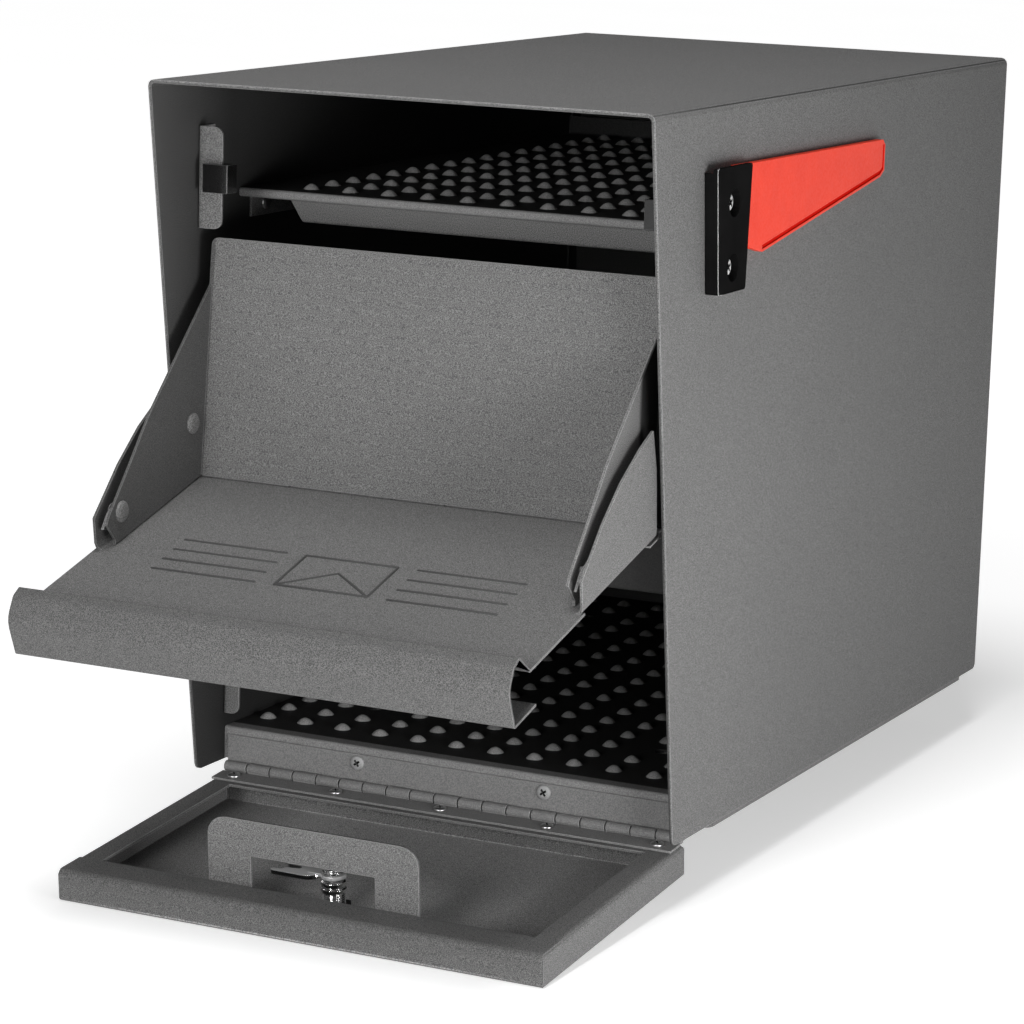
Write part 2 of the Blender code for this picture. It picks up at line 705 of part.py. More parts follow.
def lock_guard(parent):
    """Plate with a window, upright on the door behind its front flange."""
    half = GUARD_HALF
    base = -DOOR_DEPTH + SHEET + GAP
    crown = rounded([(-half, base), (-half, GUARD_HEIGHT), (half, GUARD_HEIGHT), (half, base)],
                    GUARD_CORNER, steps=4)
    plate = upright_on_door(crown, GUARD_AT, GUARD_AT + SHEET)
    foot = on_door(rectangle(-half, half, GUARD_AT - GUARD_FOOT, GUARD_AT + SHEET), base,
                   base + SHEET)
    window = upright_on_door(rectangle(-GUARD_WINDOW_HALF, GUARD_WINDOW_HALF, -4.0,
                                       GUARD_WINDOW_TOP), GUARD_AT - 5, GUARD_AT + 5)
    relief = on_door(circle((0.0, LOCK_AT), LOCK_NUT_RADIUS + 1.3, 16), base - 3, base + 4)
    body = cut(joined(plate, foot), window, relief)
    publish("lock_guard_plate", body, "powder_coat", door_pivot(), parent)


def door_lock(door_parent, cam_parent):
    """Barrel and nut fixed in the door's skin; plug, cam and cap nut turn inside them."""
    normal = door_normal()
    centre = door_point(0.0, LOCK_AT, 0.0)
    outer = -DOOR_DEPTH
    barrel = turned([(outer - 2.3, LOCK_RIM - 1.2), (outer - 1.6, LOCK_RIM),
                     (outer - GAP, LOCK_RIM), (outer - GAP, LOCK_RADIUS),
                     (CAM_LIFT - 1.6, LOCK_RADIUS)], centre, normal, 16)
    bore = rod(centre, normal, outer - 6, CAM_LIFT + 4, LOCK_BORE, 16)
    publish("lock_barrel", cut(barrel, bore), "chrome", centre, door_parent, smooth=True)
    seat = outer + SHEET + GAP
    nut = on_door(circle((0.0, LOCK_AT), LOCK_NUT_RADIUS, 6), seat, seat + LOCK_NUT_HEIGHT)
    nut = cut(nut, rod(centre, normal, outer, seat + 2 * LOCK_NUT_HEIGHT, LOCK_RADIUS + GAP, 16))
    publish("lock_nut", nut, "chrome", centre, door_parent)
    plug = turned([(outer - 1.9, PLUG_RADIUS), (CAM_LIFT - 1.0, PLUG_RADIUS),
                   (CAM_LIFT - 1.0, SPINDLE_RADIUS),
                   (CAM_LIFT + CAM_THICKNESS + 0.2, SPINDLE_RADIUS)], centre, normal)
    keyway = on_door(rectangle(-0.8, 0.8, LOCK_AT - 3.4, LOCK_AT + 3.4), outer - 4, outer + 3)
    publish("lock_plug", cut(plug, keyway), "chrome", centre, cam_parent)
    publish("lock_cam", cam_solid(), "chrome", centre, cam_parent)
    seat = CAM_LIFT + CAM_THICKNESS + 0.5
    cap = on_door(circle((0.0, LOCK_AT), CAM_NUT_RADIUS, 6), seat, seat + CAM_NUT_HEIGHT)
    publish("cam_nut", cap, "chrome", centre, cam_parent)


def cam_solid():
    """Hooked cam pointing to -x with an open slot between its two prongs."""
    width = CAM_HALF_WIDTH
    arc = [(width * math.sin(a), LOCK_AT + width * math.cos(a))
           for a in (math.pi * k / 6 for k in range(7))]
    prongs = [(-CAM_REACH + 9.0, LOCK_AT - width), (-CAM_REACH + 7.5, LOCK_AT - width + 3.6),
              (-13.0, LOCK_AT - width + 4.0), (-12.0, LOCK_AT + width - 6.0),
              (-CAM_REACH + 1.5, LOCK_AT + width - 5.0), (-CAM_REACH, LOCK_AT + width - 2.5),
              (-CAM_REACH + 1.5, LOCK_AT + width)]
    plate = on_door(arc + prongs, CAM_LIFT, CAM_LIFT + CAM_THICKNESS)
    hole = on_door(circle((0.0, LOCK_AT), SPINDLE_RADIUS + GAP), CAM_LIFT - 3, CAM_LIFT + 5)
    return cut(plate, hole)


# ---- hopper -----------------------------------------------------------------------------------------
def hopper_pivot():
    return 0.0, HOPPER_AXIS_BACK, HOPPER_AXIS_UP


def across_hopper(outline, low, high):
    """Outline in (x, lift), extruded along the hopper panel."""
    return extrude(outline, low, high, lambda a, b, t: (a, *hopper_point(t, b)))


def hopper_profile(start):
    """Upper face of the hopper panel, its groove and the hooked lip used as a handle."""
    groove = hopper_point(HOPPER_PANEL, -SKIN)
    path = [hopper_point(start, -SKIN), groove] + HOPPER_LIP
    return rounded(path, (0.0,) + HOPPER_LIP_BENDS, steps=3)


def winged_channel():
    """Rear part of the hopper panel with its two side walls, trimmed to the wings' outline."""
    half = DOOR_HALF_WIDTH
    wall = 90.0
    path = [(-half, wall), (-half, -SHEET), (half, -SHEET), (half, wall)]
    section = sheet_outline(rounded(path, (0.0, WING_BEND, WING_BEND, 0.0)), SHEET)
    channel = across_hopper(section, HOPPER_GAP_AT_HINGE, WING_FRONT)
    trim = [hopper_point(0.0, -5.0), hopper_point(WING_FRONT + 1.0, -5.0)] + OUTER_WING
    trim += [hopper_point(WING_REAR, -SKIN), hopper_point(0.0, -SKIN)]
    return combine(channel, [along_x(trim, -half - 1, half + 1)], "INTERSECT")


def wing_rivet_holes():
    return [rod((0, *spot), (1, 0, 0), -WIDTH / 2, WIDTH / 2, WING_RIVET_HOLE)
            for spot in (WING_RIVET_REAR, WING_RIVET_FRONT)]


def hopper_door(parent):
    """Panel with a wing folded up at each side and a hooked lip in front."""
    half = DOOR_HALF_WIDTH
    front = along_x(sheet_outline(hopper_profile(WING_FRONT - 2.0), SHEET - 2 * SKIN), -half, half)
    body = joined(winged_channel(), front)
    publish("hopper_door", body, "powder_coat", hopper_pivot(), parent)


def hopper_hinge(parent):
    """Strip hinge: one leaf lies on the crossbar, the other under the hopper panel."""
    pivot = hopper_pivot()
    half = DOOR_HALF_WIDTH - 1.0
    sizes = (HOPPER_KNUCKLE, HOPPER_BORE, HOPPER_KNUCKLES, half)
    low = HOPPER_AXIS_UP - HOPPER_KNUCKLE
    leaf = box(-half, half, HOPPER_AXIS_BACK, HOPPER_LEAF_BACK, low, low + HOPPER_LEAF)
    publish("crossbar_hinge_leaf", hinge_half(leaf, pivot, *sizes, 1), "hinge_steel")
    top = -SHEET - GAP
    leaf = across_hopper(rectangle(-half, half, top - HOPPER_LEAF, top), 0.0, HOPPER_LEAF_ALONG)
    publish("hopper_hinge_leaf", hinge_half(leaf, pivot, *sizes, 0), "hinge_steel", pivot, parent)
    pin = rod(pivot, (1, 0, 0), -half + 1, half - 1, HOPPER_PIN)
    publish("hopper_hinge_pin", pin, "screw_steel", smooth=True)


def baffle_face(up):
    """Distance back of the baffle's front face at a height."""
    return BAFFLE_FOOT[0] + (up - BAFFLE_FOOT[1]) * math.tan(BAFFLE_LEAN)


def baffle(parent):
    """Upright back of the hopper with a wing folded forward at each side."""
    half = BAFFLE_HALF_WIDTH
    foot = BAFFLE_FOOT[1]
    outline = [(baffle_face(foot), foot), (baffle_face(BAFFLE_TOP), BAFFLE_TOP),
               (baffle_face(BAFFLE_TOP) + SHEET, BAFFLE_TOP), (baffle_face(foot) + SHEET, foot)]
    panel = along_x(outline, -half, half)
    wing = [(baffle_face(foot) + SHEET / 2, foot + 0.2), hopper_point(97.0, 0.6)]
    wing += INNER_WING + [(baffle_face(WING_TOP) + SHEET / 2, WING_TOP)]
    wings = [along_x(wing, *sorted((sign * half, sign * (half - SHEET)))) for sign in (-1, 1)]
    corners = [baffle_corner(sign) for sign in (-1, 1)]
    body = cut(joined(panel, *wings), *wing_rivet_holes(), *corners)
    publish("baffle", body, "powder_coat", hopper_pivot(), parent)


def baffle_corner(sign):
    """Cutter that rounds one upper corner of the baffle."""
    edge = sign * BAFFLE_HALF_WIDTH
    radius = BAFFLE_CORNER
    arc = [(edge - sign * radius * (1 - math.sin(a)), BAFFLE_TOP - radius * (1 - math.cos(a)))
           for a in (math.pi / 2 * k / 3 for k in range(4))]
    outline = arc + [(edge + sign * 3, BAFFLE_TOP), (edge + sign * 3, BAFFLE_TOP + 3),
                     (edge - sign * radius, BAFFLE_TOP + 3)]
    back = baffle_face(BAFFLE_TOP)
    return along_back(outline, back - 4, back + 6)


def wing_braces(parent):
    """Strips between the inner and outer wings, with the rivets that clamp the stack."""
    rear = Vector(WING_RIVET_REAR)
    front = Vector(WING_RIVET_FRONT)
    along = (rear - front).normalized()
    side = Vector((-along.y, along.x))
    wide = BRACE_HALF_WIDTH
    tip = wide - 2.0
    outline = [rear + side * wide + along * 8, front + side * wide * 0.4 - along * 6,
               front - along * 15 - side * 2, front - along * 11 - side * tip,
               front - side * tip, rear - side * wide + along * 4]
    points = [tuple(point) for point in outline]
    for name, sign in (("left", -1), ("right", 1)):
        low, high = sorted((sign * (BAFFLE_HALF_WIDTH + BRACE_IN),
                            sign * (BAFFLE_HALF_WIDTH + BRACE_OUT)))
        brace = cut(along_x(points, low, high), *wing_rivet_holes())
        publish(f"wing_brace_{name}", brace, "powder_coat", hopper_pivot(), parent)
        for place, spot in (("rear", WING_RIVET_REAR), ("front", WING_RIVET_FRONT)):
            publish(f"wing_rivet_{place}_{name}", wing_rivet(sign, spot), "powder_coat",
                    hopper_pivot(), parent, smooth=True)


def wing_rivet(sign, spot):
    """Headed rivet through inner wing and brace, flattened in the gap to the outer wing."""
    inner = BAFFLE_HALF_WIDTH - SHEET - 0.2
    outer = BAFFLE_HALF_WIDTH + BRACE_OUT + 0.2
    shank = WING_RIVET_HOLE - 0.5
    profile = [(inner - 2.4, 2.2), (inner - 2.0, 4.4), (inner - 0.9, 6.0), (inner, 6.1),
               (inner, shank), (outer, shank), (outer, 4.4), (outer + 1.0, 3.8)]
    return turned(profile, (0, *spot), (sign, 0, 0))


# ---- flag --------------------------------------------------------------------------------------------
def flag_bracket():
    """Moulded cap with two hollow screw bosses, left free at its top and back for the flag."""
    wall = BRACKET_WALL
    (left_top, _), (left_low, base), (right_low, _), _ = BRACKET_OUTLINE
    face = along_x(rounded(BRACKET_OUTLINE, 1.5, closed=True, steps=2),
                   BRACKET_FRONT_X - BRACKET_SKIN, BRACKET_FRONT_X)
    left = [(left_top + 0.3, 369.5), (left_low, base + 1), (left_low + wall, base + 1),
            (left_top + 0.3 + wall, 369.5)]
    bottom = rectangle(left_low + 0.2, right_low - 0.2, base + 0.2, base + 0.2 + wall)
    right = [(right_low - wall, base + 1), (right_low, base + 1), (right_low + 0.5, base + 9.5),
             (right_low + 0.5 - wall, base + 9.5)]
    joins = BRACKET_FRONT_X - BRACKET_SKIN / 2
    walls = [along_x(points, BRACKET_BACK_X, joins) for points in (left, bottom, right)]
    spots = (FLAG_PIVOT, FLAG_LOWER_SCREW)
    bosses = [rod((0, *spot), (1, 0, 0), BRACKET_BACK_X, joins, BOSS_RADIUS, 16) for spot in spots]
    floor = BRACKET_BACK_X + BOSS_FLOOR
    wells = [rod((0, *spot), (1, 0, 0), floor, BRACKET_FRONT_X + 3, BOSS_HOLE, 16)
             for spot in spots]
    holes = [rod((0, *spot), (1, 0, 0), BRACKET_BACK_X - 3, floor + 2, FLAG_SCREW_HOLE)
             for spot in spots]
    publish("flag_bracket", cut(joined(face, *walls, *bosses), *wells, *holes), "black_plastic")
    for number, spot in enumerate(spots):
        bracket_screw(number + 1, spot, floor + 0.2)


def bracket_screw(number, spot, seat):
    """Screw seated on a boss's floor, and its nut inside the side wall."""
    screw = pan_screw((seat, *spot), (1, 0, 0), 4.6, 2.4, FLAG_SCREW_RADIUS, 11.0)
    publish(f"flag_screw_{number}", screw, "screw_steel", smooth=True)
    nut = along_x(circle(spot, FLAG_NUT_RADIUS, 6), FITTED - FLAG_NUT_HEIGHT, FITTED)
    bore = rod((0, *spot), (1, 0, 0), FITTED - 8, FITTED + 3, FLAG_SCREW_RADIUS + 0.25)
    publish(f"flag_nut_{number}", cut(nut, bore), "screw_steel")


def flag(parent):
    """Blade with a round hub that turns on the bracket's upper boss."""
    hub = rod((0, *FLAG_PIVOT), (1, 0, 0), FLAG_BACK_X, FLAG_FRONT_X, FLAG_HUB_RADIUS, 20)
    blade = along_x(FLAG_OUTLINE, FLAG_BACK_X, FLAG_FRONT_X)
    bore = rod((0, *FLAG_PIVOT), (1, 0, 0), FLAG_BACK_X - 3, FLAG_FRONT_X + 3, BOSS_RADIUS + 0.5,
               16)
    publish("flag", cut(joined(blade, hub), bore), "red_plastic", (0.0, *FLAG_PIVOT), parent)


# ---- assembly ----------------------------------------------------------------------------
def main():
    clear_scene()
    outer_shell()
    back_panel()
    floor_pan()
    mounting_plate()
    bolt_spacers()
    latch_crossbar()
    upper_shelf()
    shelf_stiffener()
    for name, sign in (("left", -1), ("right", 1)):
        shelf_rail(name, sign)
        stop_strip(f"hopper_stop_{name}", sign, *UPPER_STRIP)
        stop_strip(f"door_stop_{name}", sign, *LOWER_STRIP)
        stop_bumper(f"stop_bumper_{name}", sign)
    floor_hinge()
    flag_bracket()
    door_empty = pivot_empty("lower_door_axis", door_pivot())
    cam_empty = pivot_empty("lock_axis", door_point(0.0, LOCK_AT, 0.0), door_empty)
    hopper_empty = pivot_empty("hopper_axis", hopper_pivot())
    flag_empty = pivot_empty("flag_axis", (0.0, *FLAG_PIVOT))
    lower_door(door_empty)
    door_hinge_leaf(door_empty)
    lock_guard(door_empty)
    door_lock(door_empty, cam_empty)
    hopper_hinge(hopper_empty)
    hopper_door(hopper_empty)
    baffle(hopper_empty)
    wing_braces(hopper_empty)
    flag(flag_empty)


main()
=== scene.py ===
"""Looks of the parcel drop box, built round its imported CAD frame.

Lengths are in millimetres and become metres when a mesh is made. Points are (x, back, up)
as in the CAD source: x to the flag side, back from the front edge of the top, up from the
bottom edge of the side panels.
"""
import json
import math

import bmesh
import bpy
from mathutils import Euler, Matrix, Vector

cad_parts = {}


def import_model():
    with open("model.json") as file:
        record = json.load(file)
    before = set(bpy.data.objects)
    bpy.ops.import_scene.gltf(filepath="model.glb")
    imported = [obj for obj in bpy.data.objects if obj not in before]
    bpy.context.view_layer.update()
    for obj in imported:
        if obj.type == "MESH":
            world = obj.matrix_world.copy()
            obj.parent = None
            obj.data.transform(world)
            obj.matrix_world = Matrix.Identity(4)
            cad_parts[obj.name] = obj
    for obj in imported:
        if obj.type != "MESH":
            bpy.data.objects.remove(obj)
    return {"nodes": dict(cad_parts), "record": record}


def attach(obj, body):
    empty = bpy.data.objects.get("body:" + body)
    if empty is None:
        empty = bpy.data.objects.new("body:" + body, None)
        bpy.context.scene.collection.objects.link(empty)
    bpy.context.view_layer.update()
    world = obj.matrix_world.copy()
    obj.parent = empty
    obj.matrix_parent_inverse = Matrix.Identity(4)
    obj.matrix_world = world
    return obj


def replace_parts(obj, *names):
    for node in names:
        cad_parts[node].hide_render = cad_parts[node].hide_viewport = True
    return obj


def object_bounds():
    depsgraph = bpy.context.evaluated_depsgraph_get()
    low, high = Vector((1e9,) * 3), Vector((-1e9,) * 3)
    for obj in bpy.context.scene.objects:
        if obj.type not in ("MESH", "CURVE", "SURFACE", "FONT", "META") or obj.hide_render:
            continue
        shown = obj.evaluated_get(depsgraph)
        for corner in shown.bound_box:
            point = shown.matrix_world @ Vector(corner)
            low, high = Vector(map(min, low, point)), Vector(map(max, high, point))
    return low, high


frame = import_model()
cad_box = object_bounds()
nodes = frame["nodes"]

MM = 0.001
ORIGIN_BACK = 324.0
ORIGIN_UP = -3.0

# ---- sizes shared with the CAD ------------------------------------------------------------
DOOR_TILT = math.radians(4.7)
DOOR_EDGE = (86.5, -6.3)
DOOR_HALF_WIDTH = 147.8
DOOR_SKIN_LIFT = -16.9
LEAF_SCREW_X = (-135.8, -67.9, 0.0, 67.9, 135.8)
LEAF_SCREW_ALONG = 10.0
LEAF_SCREW_SEAT = 1.7
LOCK_AT = 135.0
LOCK_RIM_LIFT = -20.7
HOPPER_TILT = math.radians(15.3)
HOPPER_AXIS = (43.0, 177.0)
HOPPER_KNUCKLE = 2.5
FLANGE_SCREWS = [(x, 87.9, 10.6) for x in (-60.0, 60.0)]
FLAG_SCREWS = [(154.6, 92.3, 352.0), (154.6, 93.0, 317.0)]
FLAG_PIVOT = (92.3, 352.0)
FLAG_BACK_X = 153.4
FLAG_FRONT_X = 157.6
FLAG_HUB_RADIUS = 14.0
FLAG_BORE_RADIUS = 9.7
FLAG_OUTLINE = [(101.0, 371.2), (323.0, 369.4), (326.8, 366.0), (326.8, 351.0), (320.5, 347.6),
                (140.7, 320.6), (121.0, 325.0), (101.0, 341.0)]
FLOOR_TOP = 20.0
SHELF_TOP = 337.5
POST_BOLTS = [(x, back) for x in (-95.0, 95.0) for back in (174.0, 474.0)]

# ---- dimples ------------------------------------------------------------------------------
DIMPLE_PITCH = 25.2
FLOOR_COLUMNS = 12
SHELF_COLUMNS = 10
DIMPLE_ROWS = 17
DIMPLE_ROW_PITCH = 25.0
FLOOR_FIRST_ROW = 120.5
SHELF_FIRST_ROW = 117.0
DIMPLE_PROFILE = [(4.9, -0.9), (4.9, 0.0), (4.35, 0.6), (3.6, 1.45), (2.6, 2.25), (1.4, 2.9),
                  (0.0, 3.2)]
DIMPLE_SIDES = 16
BOLT_CLEARANCE = 11.0

# ---- screws: (radius, height) of the head and (radius, length) of the shank -----------------
FLANGE_SCREW = (4.4, 1.7), (2.0, 6.0)
LEAF_SCREW = (3.9, 1.6), (1.8, 6.0)
FLAG_SCREW = (5.6, 3.4), (2.0, 11.0)
HEAD_ROUNDING = [(1.0, 0.3), (0.95, 0.55), (0.8, 0.8), (0.5, 0.96)]
HEAD_SIDES = 28
RECESS_TURN = 0.6
RECESS_HALF_WIDTH = 0.15
RECESS_ARM = 0.62
RECESS_TAPER = 0.45
RECESS_FLOOR = 0.05
RECESS_CLEAR = 1.4

# ---- flag grooves -------------------------------------------------------------------------
FLAG_RIM = [(326.8, 366.5), (326.8, 351.0), (320.5, 347.6), (140.7, 320.6)]
FLAG_GROOVE_IN = 1.5
FLAG_GROOVE_WIDE = 2.4
FLAG_GROOVE_DEEP = 0.8

# ---- lock: profiles are (radius, lift), fork outlines (x, sideways) -------------------------
BARREL_RIM = [(10.5, 1.2), (9.9, 0.2), (5.0, 0.0), (4.7, 0.4)]
BARREL_COLLARS = [(4.7, 2.9), (5.6, 2.9), (6.5, 2.3), (7.0, 1.6), (7.0, -0.2), (6.6, -0.8),
                  (5.9, -1.0), (5.9, -1.5), (6.6, -1.6), (7.2, -2.2), (7.2, -3.8), (6.8, -4.3)]
BARREL_RADIUS = 6.4
BARREL_FLANGE = (10.5, 2.0)
THREAD_PITCH = 1.2
THREAD_CREST = 6.35
THREAD_ROOT = 5.75
BARREL_THREAD_END = -14.0
CAM_STACK = [(0.0, 6.8), (2.8, 6.8), (2.8, 6.0), (6.0, 6.0), (6.2, 6.3), (6.2, 7.2), (5.9, 7.5),
             (4.9, 7.6), (4.9, 7.9), (5.5, 8.0), (5.6, 8.8), (5.2, 9.3), (3.4, 9.5), (3.4, 10.3),
             (2.6, 10.8), (0.0, 11.0)]
FORK_LEAN = math.radians(12)
FORK_LIFT = 4.8
FORK_THICK = 2.6
FORK_HALF = 7.0
FORK_ROOT_X = -14.2
FORK_ROOT_STEPS = 12
FORK_PRONGS = [(-34.0, 7.0), (-35.4, 6.5), (-36.0, 5.6), (-35.4, 4.7), (-34.0, 4.4), (-30.5, 4.3),
               (-28.0, 1.9), (-20.5, 1.2), (-19.6, 0.6), (-19.6, -0.6), (-20.5, -1.2),
               (-28.0, -1.4), (-29.4, -2.0), (-30.1, -3.4), (-30.1, -5.2), (-29.4, -6.5),
               (-28.0, -7.0)]
FORK_NECK = [(-5.6, 5.7), (-14.0, 5.7), (-14.0, 3.9), (-5.6, 3.9)]
FORK_NECK_HALF = 3.4
FORK_RING = [(2.9, 3.8), (6.9, 3.8), (6.9, 5.8), (2.9, 5.8)]

# ---- hopper emblem: ridges are (half width, height) ----------------------------------------
EMBLEM_ALONG = (80.0, 116.0)
EMBLEM_HALF = 28.0
EMBLEM_FLAP = 0.42
EMBLEM_RIBS = 4
EMBLEM_RIB_GAP = 12.0
EMBLEM_RIB_END = 104.0
OUTLINE_RIDGE = (0.9, 0.7)
FLAP_RIDGE = (0.8, 0.6)
RIB_RIDGE = (0.9, 0.6)
RIDGE_SECTION = [(-1.0, -0.5), (-1.0, 0.0), (-0.45, 0.85), (0.45, 0.85), (1.0, 0.0), (1.0, -0.5)]
RIDGE_END = (0.15, 0.1)

# ---- front flange of the lower door: (along, lift) ------------------------------------------
LAPPED_FLANGE = [(158.8, -0.5), (158.8, 0.15), (176.8, 0.15), (178.7, -0.1), (180.1, -1.3),
                 (180.6, -3.2), (180.6, -5.5), (179.6, -5.5), (179.4, -3.0), (178.2, -1.2),
                 (176.8, -0.5)]
LAPPED_FLANGE_INSET = 0.6

# ---- bevels -------------------------------------------------------------------------------
SHARP_ANGLE = 35.0
FLAG_BEVEL = 0.45
FLANGE_BEVEL = 0.3
LOCK_NUT_BEVEL = 0.5
BUMPER_BEVEL = 1.2

# ---- grain of the finishes ----------------------------------------------------------------
NOISE_SPREAD = (0.3, 0.7)
FLECK_SPREAD = (0.38, 0.64)
FLECK_SCALE = 1900.0
PEBBLE_SCALE = 1700.0
PEBBLE_HEIGHT = 0.10
CLOUD_SCALE = 9.0
CLOUD_DEPTH = 0.16
COAT_EDGE = 0.55
SCRATCH_SCALE = 320.0
SCRATCH_STRETCH = (1.0, 9.0, 9.0)
SCRATCH_HEIGHT = 0.02
PATCH_SCALE = 60.0
MOTTLE_SCALE = 45.0
PEEL_HEIGHT = 0.03
MOULDED_EDGE = 0.5

# ---- where light and shade are painted into the finishes, in metres at rest, as the materials read it ------
CASING_HALF = 0.1515
CASING_TOP = 0.4070
CASING_FADE = (-0.410, -0.235)
CASING_SHADE = 0.85
FLANK_FACE = 0.1520
FLANK_BACKWARDS = (-0.2, 0.22)
FLANK_BACK_SHADE = 0.24
FLANK_UPWARDS = (0.18, 0.40)
FLANK_TOP_SHADE = 0.10
FRONT_FLANGES_Y = (-0.2250, -0.2240)
FLANGE_LIGHT = 1.45
BEHIND_FLANGE_SHADE = 0.17
BAFFLE_SIDE = 0.1392
BAFFLE_FADE = (-0.303, -0.299)
BAFFLE_SHADOW = 0.9
BAFFLE_FAR_X = -0.1374
BAFFLE_FAR_SHADE = 0.45
HOPPER_RIM_X = 0.1435
HOPPER_LIP_Y = -0.42
LIP_FADE = (-0.4520, -0.4420)
FRONT_EDGE_SHADE = 0.70
FAR_WING_X = -0.1440
FAR_WING_Y = -0.385
FAR_WING_SHADE = 0.45
DOOR_SKIN_LIGHT = 2.5
DOOR_SKIN_FADE = (0.085, 0.145)
DOOR_FRONT_FADE = (-0.4168, -0.4145)
SKIN_FACE = (0.0002, 0.0006)
SKIN_CORNER = (0.0012, 0.0020)
FRONT_SLOPE = 0.1459
BRACKET_FRONT_LEVEL = -0.2000
BRACKET_EDGE_X = 0.1598


# ---- places -------------------------------------------------------------------------------
def place(x, back, up):
    return Vector((x, back - ORIGIN_BACK, up - ORIGIN_UP)) * MM


def on_door(x, along, lift):
    """Point on the open lower door: along it from the hinge edge, lifted off its rim."""
    back = DOOR_EDGE[0] - along * math.cos(DOOR_TILT) - lift * math.sin(DOOR_TILT)
    up = DOOR_EDGE[1] - along * math.sin(DOOR_TILT) + lift * math.cos(DOOR_TILT)
    return place(x, back, up)


def on_hopper(x, along, lift):
    """Point on the open hopper's panel: along it from the hinge, lifted off its upper face."""
    rise = HOPPER_KNUCKLE + lift
    back = HOPPER_AXIS[0] - along * math.cos(HOPPER_TILT) - rise * math.sin(HOPPER_TILT)
    up = HOPPER_AXIS[1] - along * math.sin(HOPPER_TILT) + rise * math.cos(HOPPER_TILT)
    return place(x, back, up)


DOOR_NORMAL = (on_door(0, 0, 1) - on_door(0, 0, 0)).normalized()


def axes_for(normal, upright=Vector((0, 0, 1))):
    """Rotation whose Z is the normal and whose Y leans to the given direction."""
    z = Vector(normal).normalized()
    if abs(z.dot(upright)) > 0.95:
        upright = Vector((0, 1, 0))
    x = upright.cross(z).normalized()
    return Matrix((x, z.cross(x), z)).transposed().to_4x4()


LOCK_AXES = Matrix.Translation(on_door(0, LOCK_AT, 0)) @ axes_for(DOOR_NORMAL)


# ---- mesh helpers -------------------------------------------------------------------------
def add_to_scene(obj):
    bpy.context.scene.collection.objects.link(obj)


def new_piece(name, bm, body, slot, finish=None):
    """Object from a bmesh, riding on a body and wearing its slot's finish or a named one."""
    bmesh.ops.recalc_face_normals(bm, faces=bm.faces)
    mesh = bpy.data.meshes.new(name)
    bm.to_mesh(mesh)
    bm.free()
    mesh.shade_smooth()
    mesh.set_sharp_from_angle(angle=math.radians(SHARP_ANGLE))
    mesh.materials.append(FINISHES[finish or slot])
    obj = bpy.data.objects.new(name, mesh)
    add_to_scene(obj)
    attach(obj, body)
    return obj


def lathe(bm, profile, sides, matrix, closed=False):
    """Turn (radius, height) points round Z, closing both ends or joining them into a ring."""
    rings = []
    for radius, height in profile:
        if radius == 0.0:
            rings.append([bm.verts.new(matrix @ Vector((0, 0, height * MM)))])
            continue
        ring = []
        for k in range(sides):
            angle = 2 * math.pi * k / sides
            spot = Vector((radius * math.cos(angle), radius * math.sin(angle), height)) * MM
            ring.append(bm.verts.new(matrix @ spot))
        rings.append(ring)
    pairs = list(zip(rings, rings[1:]))
    if closed:
        pairs.append((rings[-1], rings[0]))
    for low, high in pairs:
        for k in range(sides):
            quad = [low[k % len(low)], low[(k + 1) % len(low)],
                    high[(k + 1) % len(high)], high[k % len(high)]]
            bm.faces.new(list(dict.fromkeys(quad)))
    if not closed:
        for ring in (rings[0], rings[-1]):
            if len(ring) > 1:
                bm.faces.new(ring)


def circle(centre, radius, sides):
    """Outline of a circle."""
    angles = (2 * math.pi * k / sides for k in range(sides))
    return [(centre[0] + radius * math.cos(a), centre[1] + radius * math.sin(a)) for a in angles]


def prism(bm, outline, low, high, to_point):
    """Closed solid over an outline, between two depths."""
    ends = [[bm.verts.new(to_point(a, b, depth)) for a, b in outline] for depth in (low, high)]
    bm.faces.new(ends[0])
    bm.faces.new(ends[1])
    count = len(outline)
    for k in range(count):
        n = (k + 1) % count
        bm.faces.new((ends[0][k], ends[0][n], ends[1][n], ends[1][k]))


def side_prism(outline, low_x, high_x):
    """Solid over a (back, up) outline, between two places along x."""
    bm = bmesh.new()
    prism(bm, outline, low_x, high_x, lambda back, up, x: place(x, back, up))
    return bm


def loose_cutter(bm):
    """Bare object from a bmesh, for a boolean to use up."""
    bmesh.ops.recalc_face_normals(bm, faces=bm.faces)
    mesh = bpy.data.meshes.new("cutter")
    bm.to_mesh(mesh)
    bm.free()
    obj = bpy.data.objects.new("cutter", mesh)
    add_to_scene(obj)
    return obj


def apply_modifiers(obj):
    bpy.context.view_layer.update()
    evaluated = obj.evaluated_get(bpy.context.evaluated_depsgraph_get())
    mesh = bpy.data.meshes.new_from_object(evaluated)
    obj.modifiers.clear()
    obj.data = mesh


def combine(obj, other, operation, finish=None):
    """Apply a boolean with another mesh, whose faces may bring a finish of their own."""
    modifier = obj.modifiers.new("combine", "BOOLEAN")
    modifier.operation = operation
    modifier.solver = "EXACT"
    if finish:
        other.data.materials.append(FINISHES[finish])
        modifier.material_mode = "TRANSFER"
    modifier.object = other
    apply_modifiers(obj)
    bpy.data.objects.remove(other)


def cut_with(obj, cutter, finish=None):
    combine(obj, cutter, "DIFFERENCE", finish)


def join_with(obj, other):
    combine(obj, other, "UNION")


def soften(obj, width, segments=2):
    """Round an object's sharp edges."""
    bevel = obj.modifiers.new("soft_edges", "BEVEL")
    bevel.width = width * MM
    bevel.segments = segments
    bevel.limit_method = "ANGLE"
    bevel.angle_limit = math.radians(SHARP_ANGLE)
    bevel.harden_normals = True


